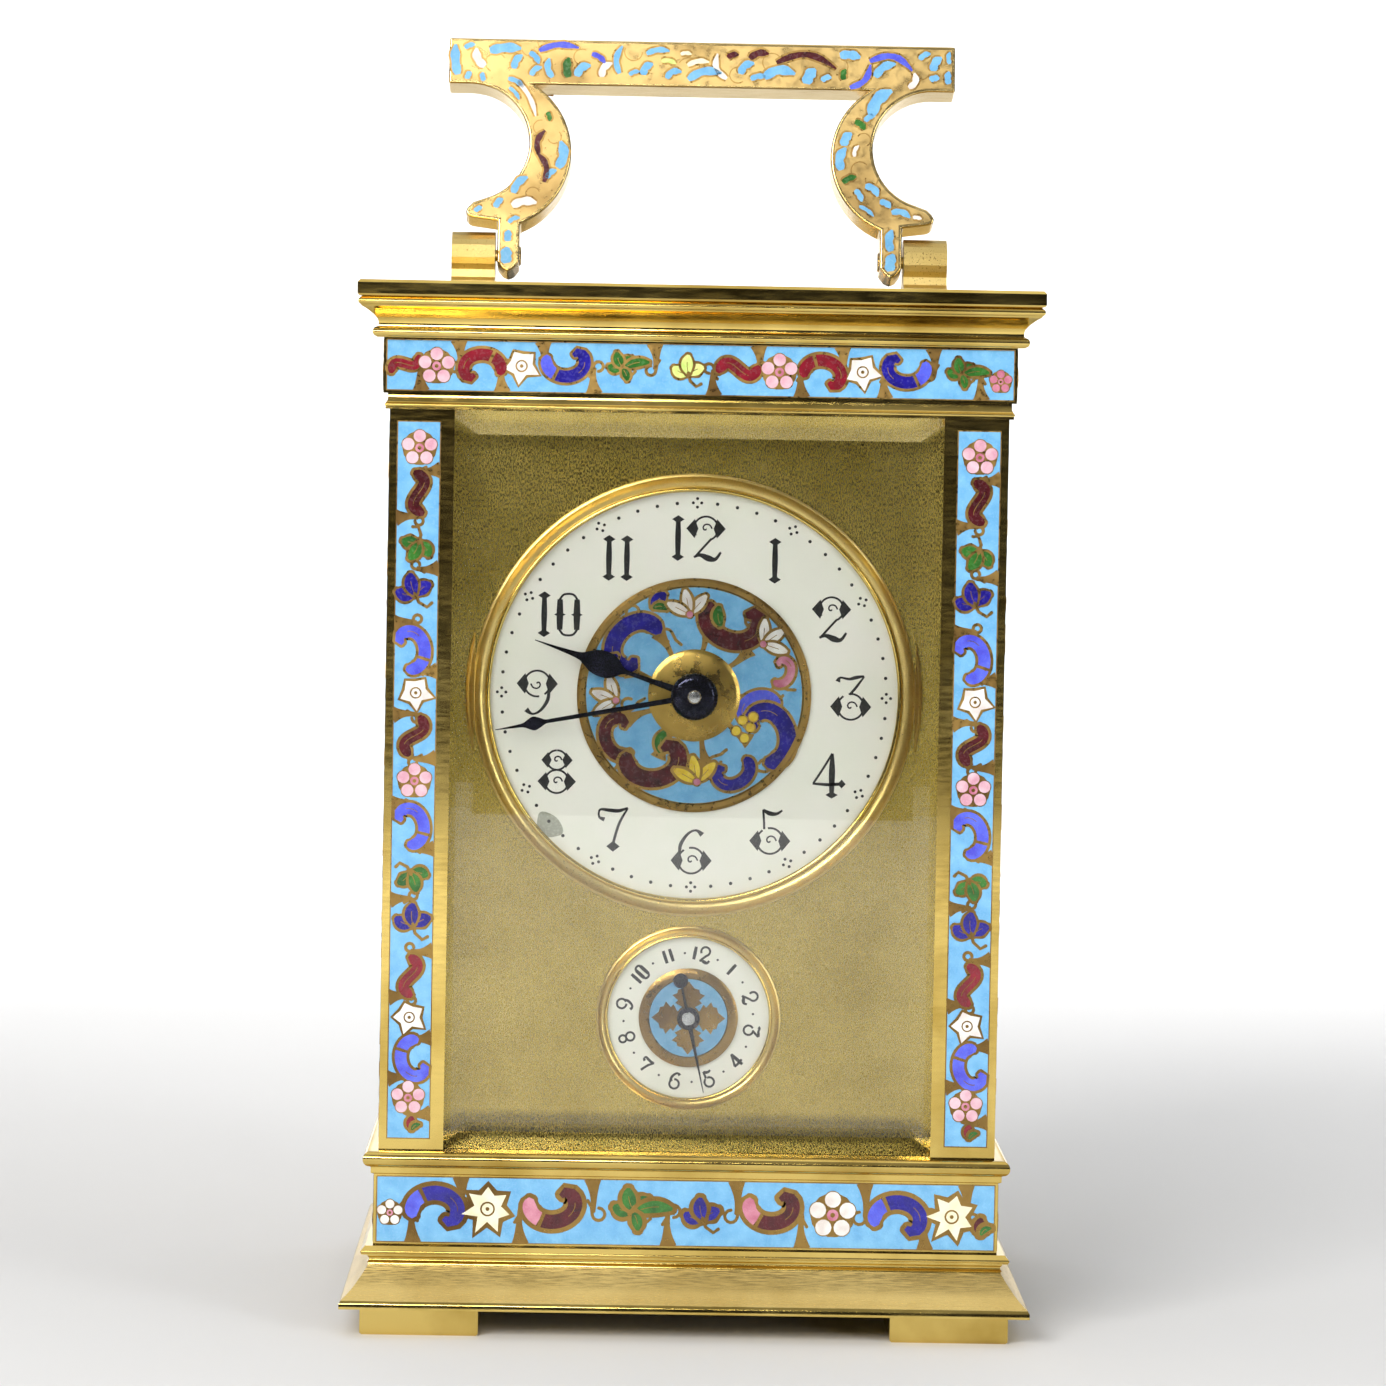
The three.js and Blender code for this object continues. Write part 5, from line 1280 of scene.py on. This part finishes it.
LOOKS = {
    "case_brass": POLISHED,
    "handle_brass": HANDLE,
    "case_glass": GLASS,
    "mask_brass": GILT,
    "dial_porcelain": WHITE,
    "centre_enamel": EDGE,
    "bezel_gilt": BEZEL,
    "blued_steel": BLUED,
    "plate_brass": WORKS,
    "wheel_brass": WORKS,
    "arbor_steel": STEEL,
    "gong_steel": SPRING,
}
ROUNDED = {"case_glass": 0.0, "case_brass": 0.3, "handle_brass": 0.3, "mask_brass": 0.05}
WORKS_ROUNDED = 0.06


def dress_nodes():
    """Gives every CAD node its material, and rounds its edges a little."""
    for part in frame["record"]["subparts"]:
        node, look = frame["nodes"][part["node"]], part["material_slot"]
        lug = part["node"].startswith("handle_lug")
        node.data.materials.clear()
        node.data.materials.append(BEZEL if lug else LOOKS[look])
        for face in node.data.polygons:
            face.material_index = 0
        width = ROUNDED.get(look, WORKS_ROUNDED)
        if width:
            soften(node, width)


# ------------------------------------------------------------ floor, lights and camera

FLOOR_FRONT = -900.0
FLOOR_BEND = 900.0  # where the floor starts to curve up, and the curve's radius
FLOOR_HALF = 4000.0
FLOOR_TOP = 2600.0
WORLD_STOPS = ((0.0, 0.4), (0.42, 0.2), (0.5, 0.03), (0.58, 0.06), (0.75, 0.5), (1.0, 0.8))
WORLD_STRENGTH = 0.45
CAMERA_AT = (-10.0, -742.0, 132.0)
CAMERA_AIM = (0.0, 0.0, 101.0)
CAMERA_ROLL = math.radians(1.03)
CAMERA_LENS = 131.9
CAMERA_SHIFT = -0.0643


def build_floor():
    """A pale floor that curves up far behind the clock."""
    profile = [(FLOOR_FRONT, 0.0), (FLOOR_BEND, 0.0), *arc(FLOOR_BEND, FLOOR_BEND, FLOOR_BEND, -90, 0, 16)]
    profile.append((2 * FLOOR_BEND, FLOOR_TOP))
    verts = [Vector((x, y, z)) * MM for y, z in profile for x in (-FLOOR_HALF, FLOOR_HALF)]
    faces = [[2 * k, 2 * k + 1, 2 * k + 3, 2 * k + 2] for k in range(len(profile) - 1)]
    mesh = bpy.data.meshes.new("floor")
    mesh.from_pydata(verts, [], faces)
    mesh.materials.append(PAPER)
    mesh.shade_smooth()
    floor = bpy.data.objects.new("floor", mesh)
    STAGE.link(floor)


def add_softbox(name, place, aim, width, height, power, tint=(1, 1, 1)):
    light = bpy.data.lights.new(name, "AREA")
    light.shape = "RECTANGLE"
    light.size, light.size_y = width * MM, height * MM
    light.energy = power
    light.color = tint
    lamp = bpy.data.objects.new(name, light)
    lamp.location = Vector(place) * MM
    lamp.rotation_euler = (Vector(aim) - Vector(place)).to_track_quat("-Z", "Y").to_euler()
    STAGE.link(lamp)


def build_lights():
    add_softbox("key", (-480, -900, 620), (0, 0, 90), 620, 420, 12, (1, 0.98, 0.95))
    add_softbox("fill", (700, -700, 240), (0, 0, 80), 260, 560, 3.8, (0.95, 0.98, 1))
    add_softbox("flash", (-70, -800, 330), (0, 0, 90), 130, 90, 0.7)
    add_softbox("top", (0, 60, 1100), (0, 0, 0), 1700, 1300, 4.5)
    add_softbox("back", (-100, 700, 900), (0, 1500, 300), 1200, 600, 20)


def build_world():
    """A studio's dim surroundings: pale above, dark round the horizon, to give brass its contrast.

    Seen straight past the floor's edge they are plain and pale.
    """
    world = bpy.data.worlds.new("studio")
    bpy.context.scene.world = world
    world.use_nodes = True
    nodes, links = world.node_tree.nodes, world.node_tree.links
    where = nodes.new("ShaderNodeTexCoord")
    split = nodes.new("ShaderNodeSeparateXYZ")
    links.new(where.outputs["Generated"], split.inputs["Vector"])
    ramp = nodes.new("ShaderNodeValToRGB")
    while len(ramp.color_ramp.elements) < len(WORLD_STOPS):
        ramp.color_ramp.elements.new(0.5)
    for element, (at, value) in zip(ramp.color_ramp.elements, WORLD_STOPS):
        element.position = at
        element.color = (value, value, value, 1)
    lift = nodes.new("ShaderNodeMapRange")
    lift.inputs["From Min"].default_value = -1
    links.new(split.outputs["Z"], lift.inputs["Value"])
    links.new(lift.outputs["Result"], ramp.inputs["Fac"])
    pale = nodes.new("ShaderNodeMix")
    pale.data_type = "RGBA"
    pale.inputs[7].default_value = (2, 2, 2, 1)
    seen = nodes.new("ShaderNodeLightPath")
    links.new(seen.outputs["Is Camera Ray"], pale.inputs["Factor"])
    links.new(ramp.outputs["Color"], pale.inputs[6])
    links.new(pale.outputs[2], nodes["Background"].inputs["Color"])
    nodes["Background"].inputs["Strength"].default_value = WORLD_STRENGTH


def add_camera():
    camera = bpy.data.objects.new("camera", bpy.data.cameras.new("camera"))
    camera.data.lens = CAMERA_LENS
    camera.data.sensor_width = 36
    camera.data.shift_y = CAMERA_SHIFT
    camera.data.clip_start = 0.01
    camera.location = Vector(CAMERA_AT) * MM
    look = (Vector(CAMERA_AIM) - Vector(CAMERA_AT)).to_track_quat("-Z", "Y")
    camera.rotation_euler = (look @ Quaternion((0, 0, 1), CAMERA_ROLL)).to_euler()
    STAGE.link(camera)
    bpy.context.scene.camera = camera


def main():
    dress_nodes()
    build_base()
    build_top()
    build_friezes()
    build_pillar_strips()
    build_main_dial()
    build_alarm_dial()
    build_bezels()
    build_dial_centre()
    build_alarm_centre()
    build_hands()
    build_handle()
    build_handle_screws()
    build_plate_screws()
    build_hairspring()
    build_jewel()
    build_floor()
    build_lights()
    build_world()
    add_camera()
    bpy.context.scene.view_settings.view_transform = "Standard"


main()
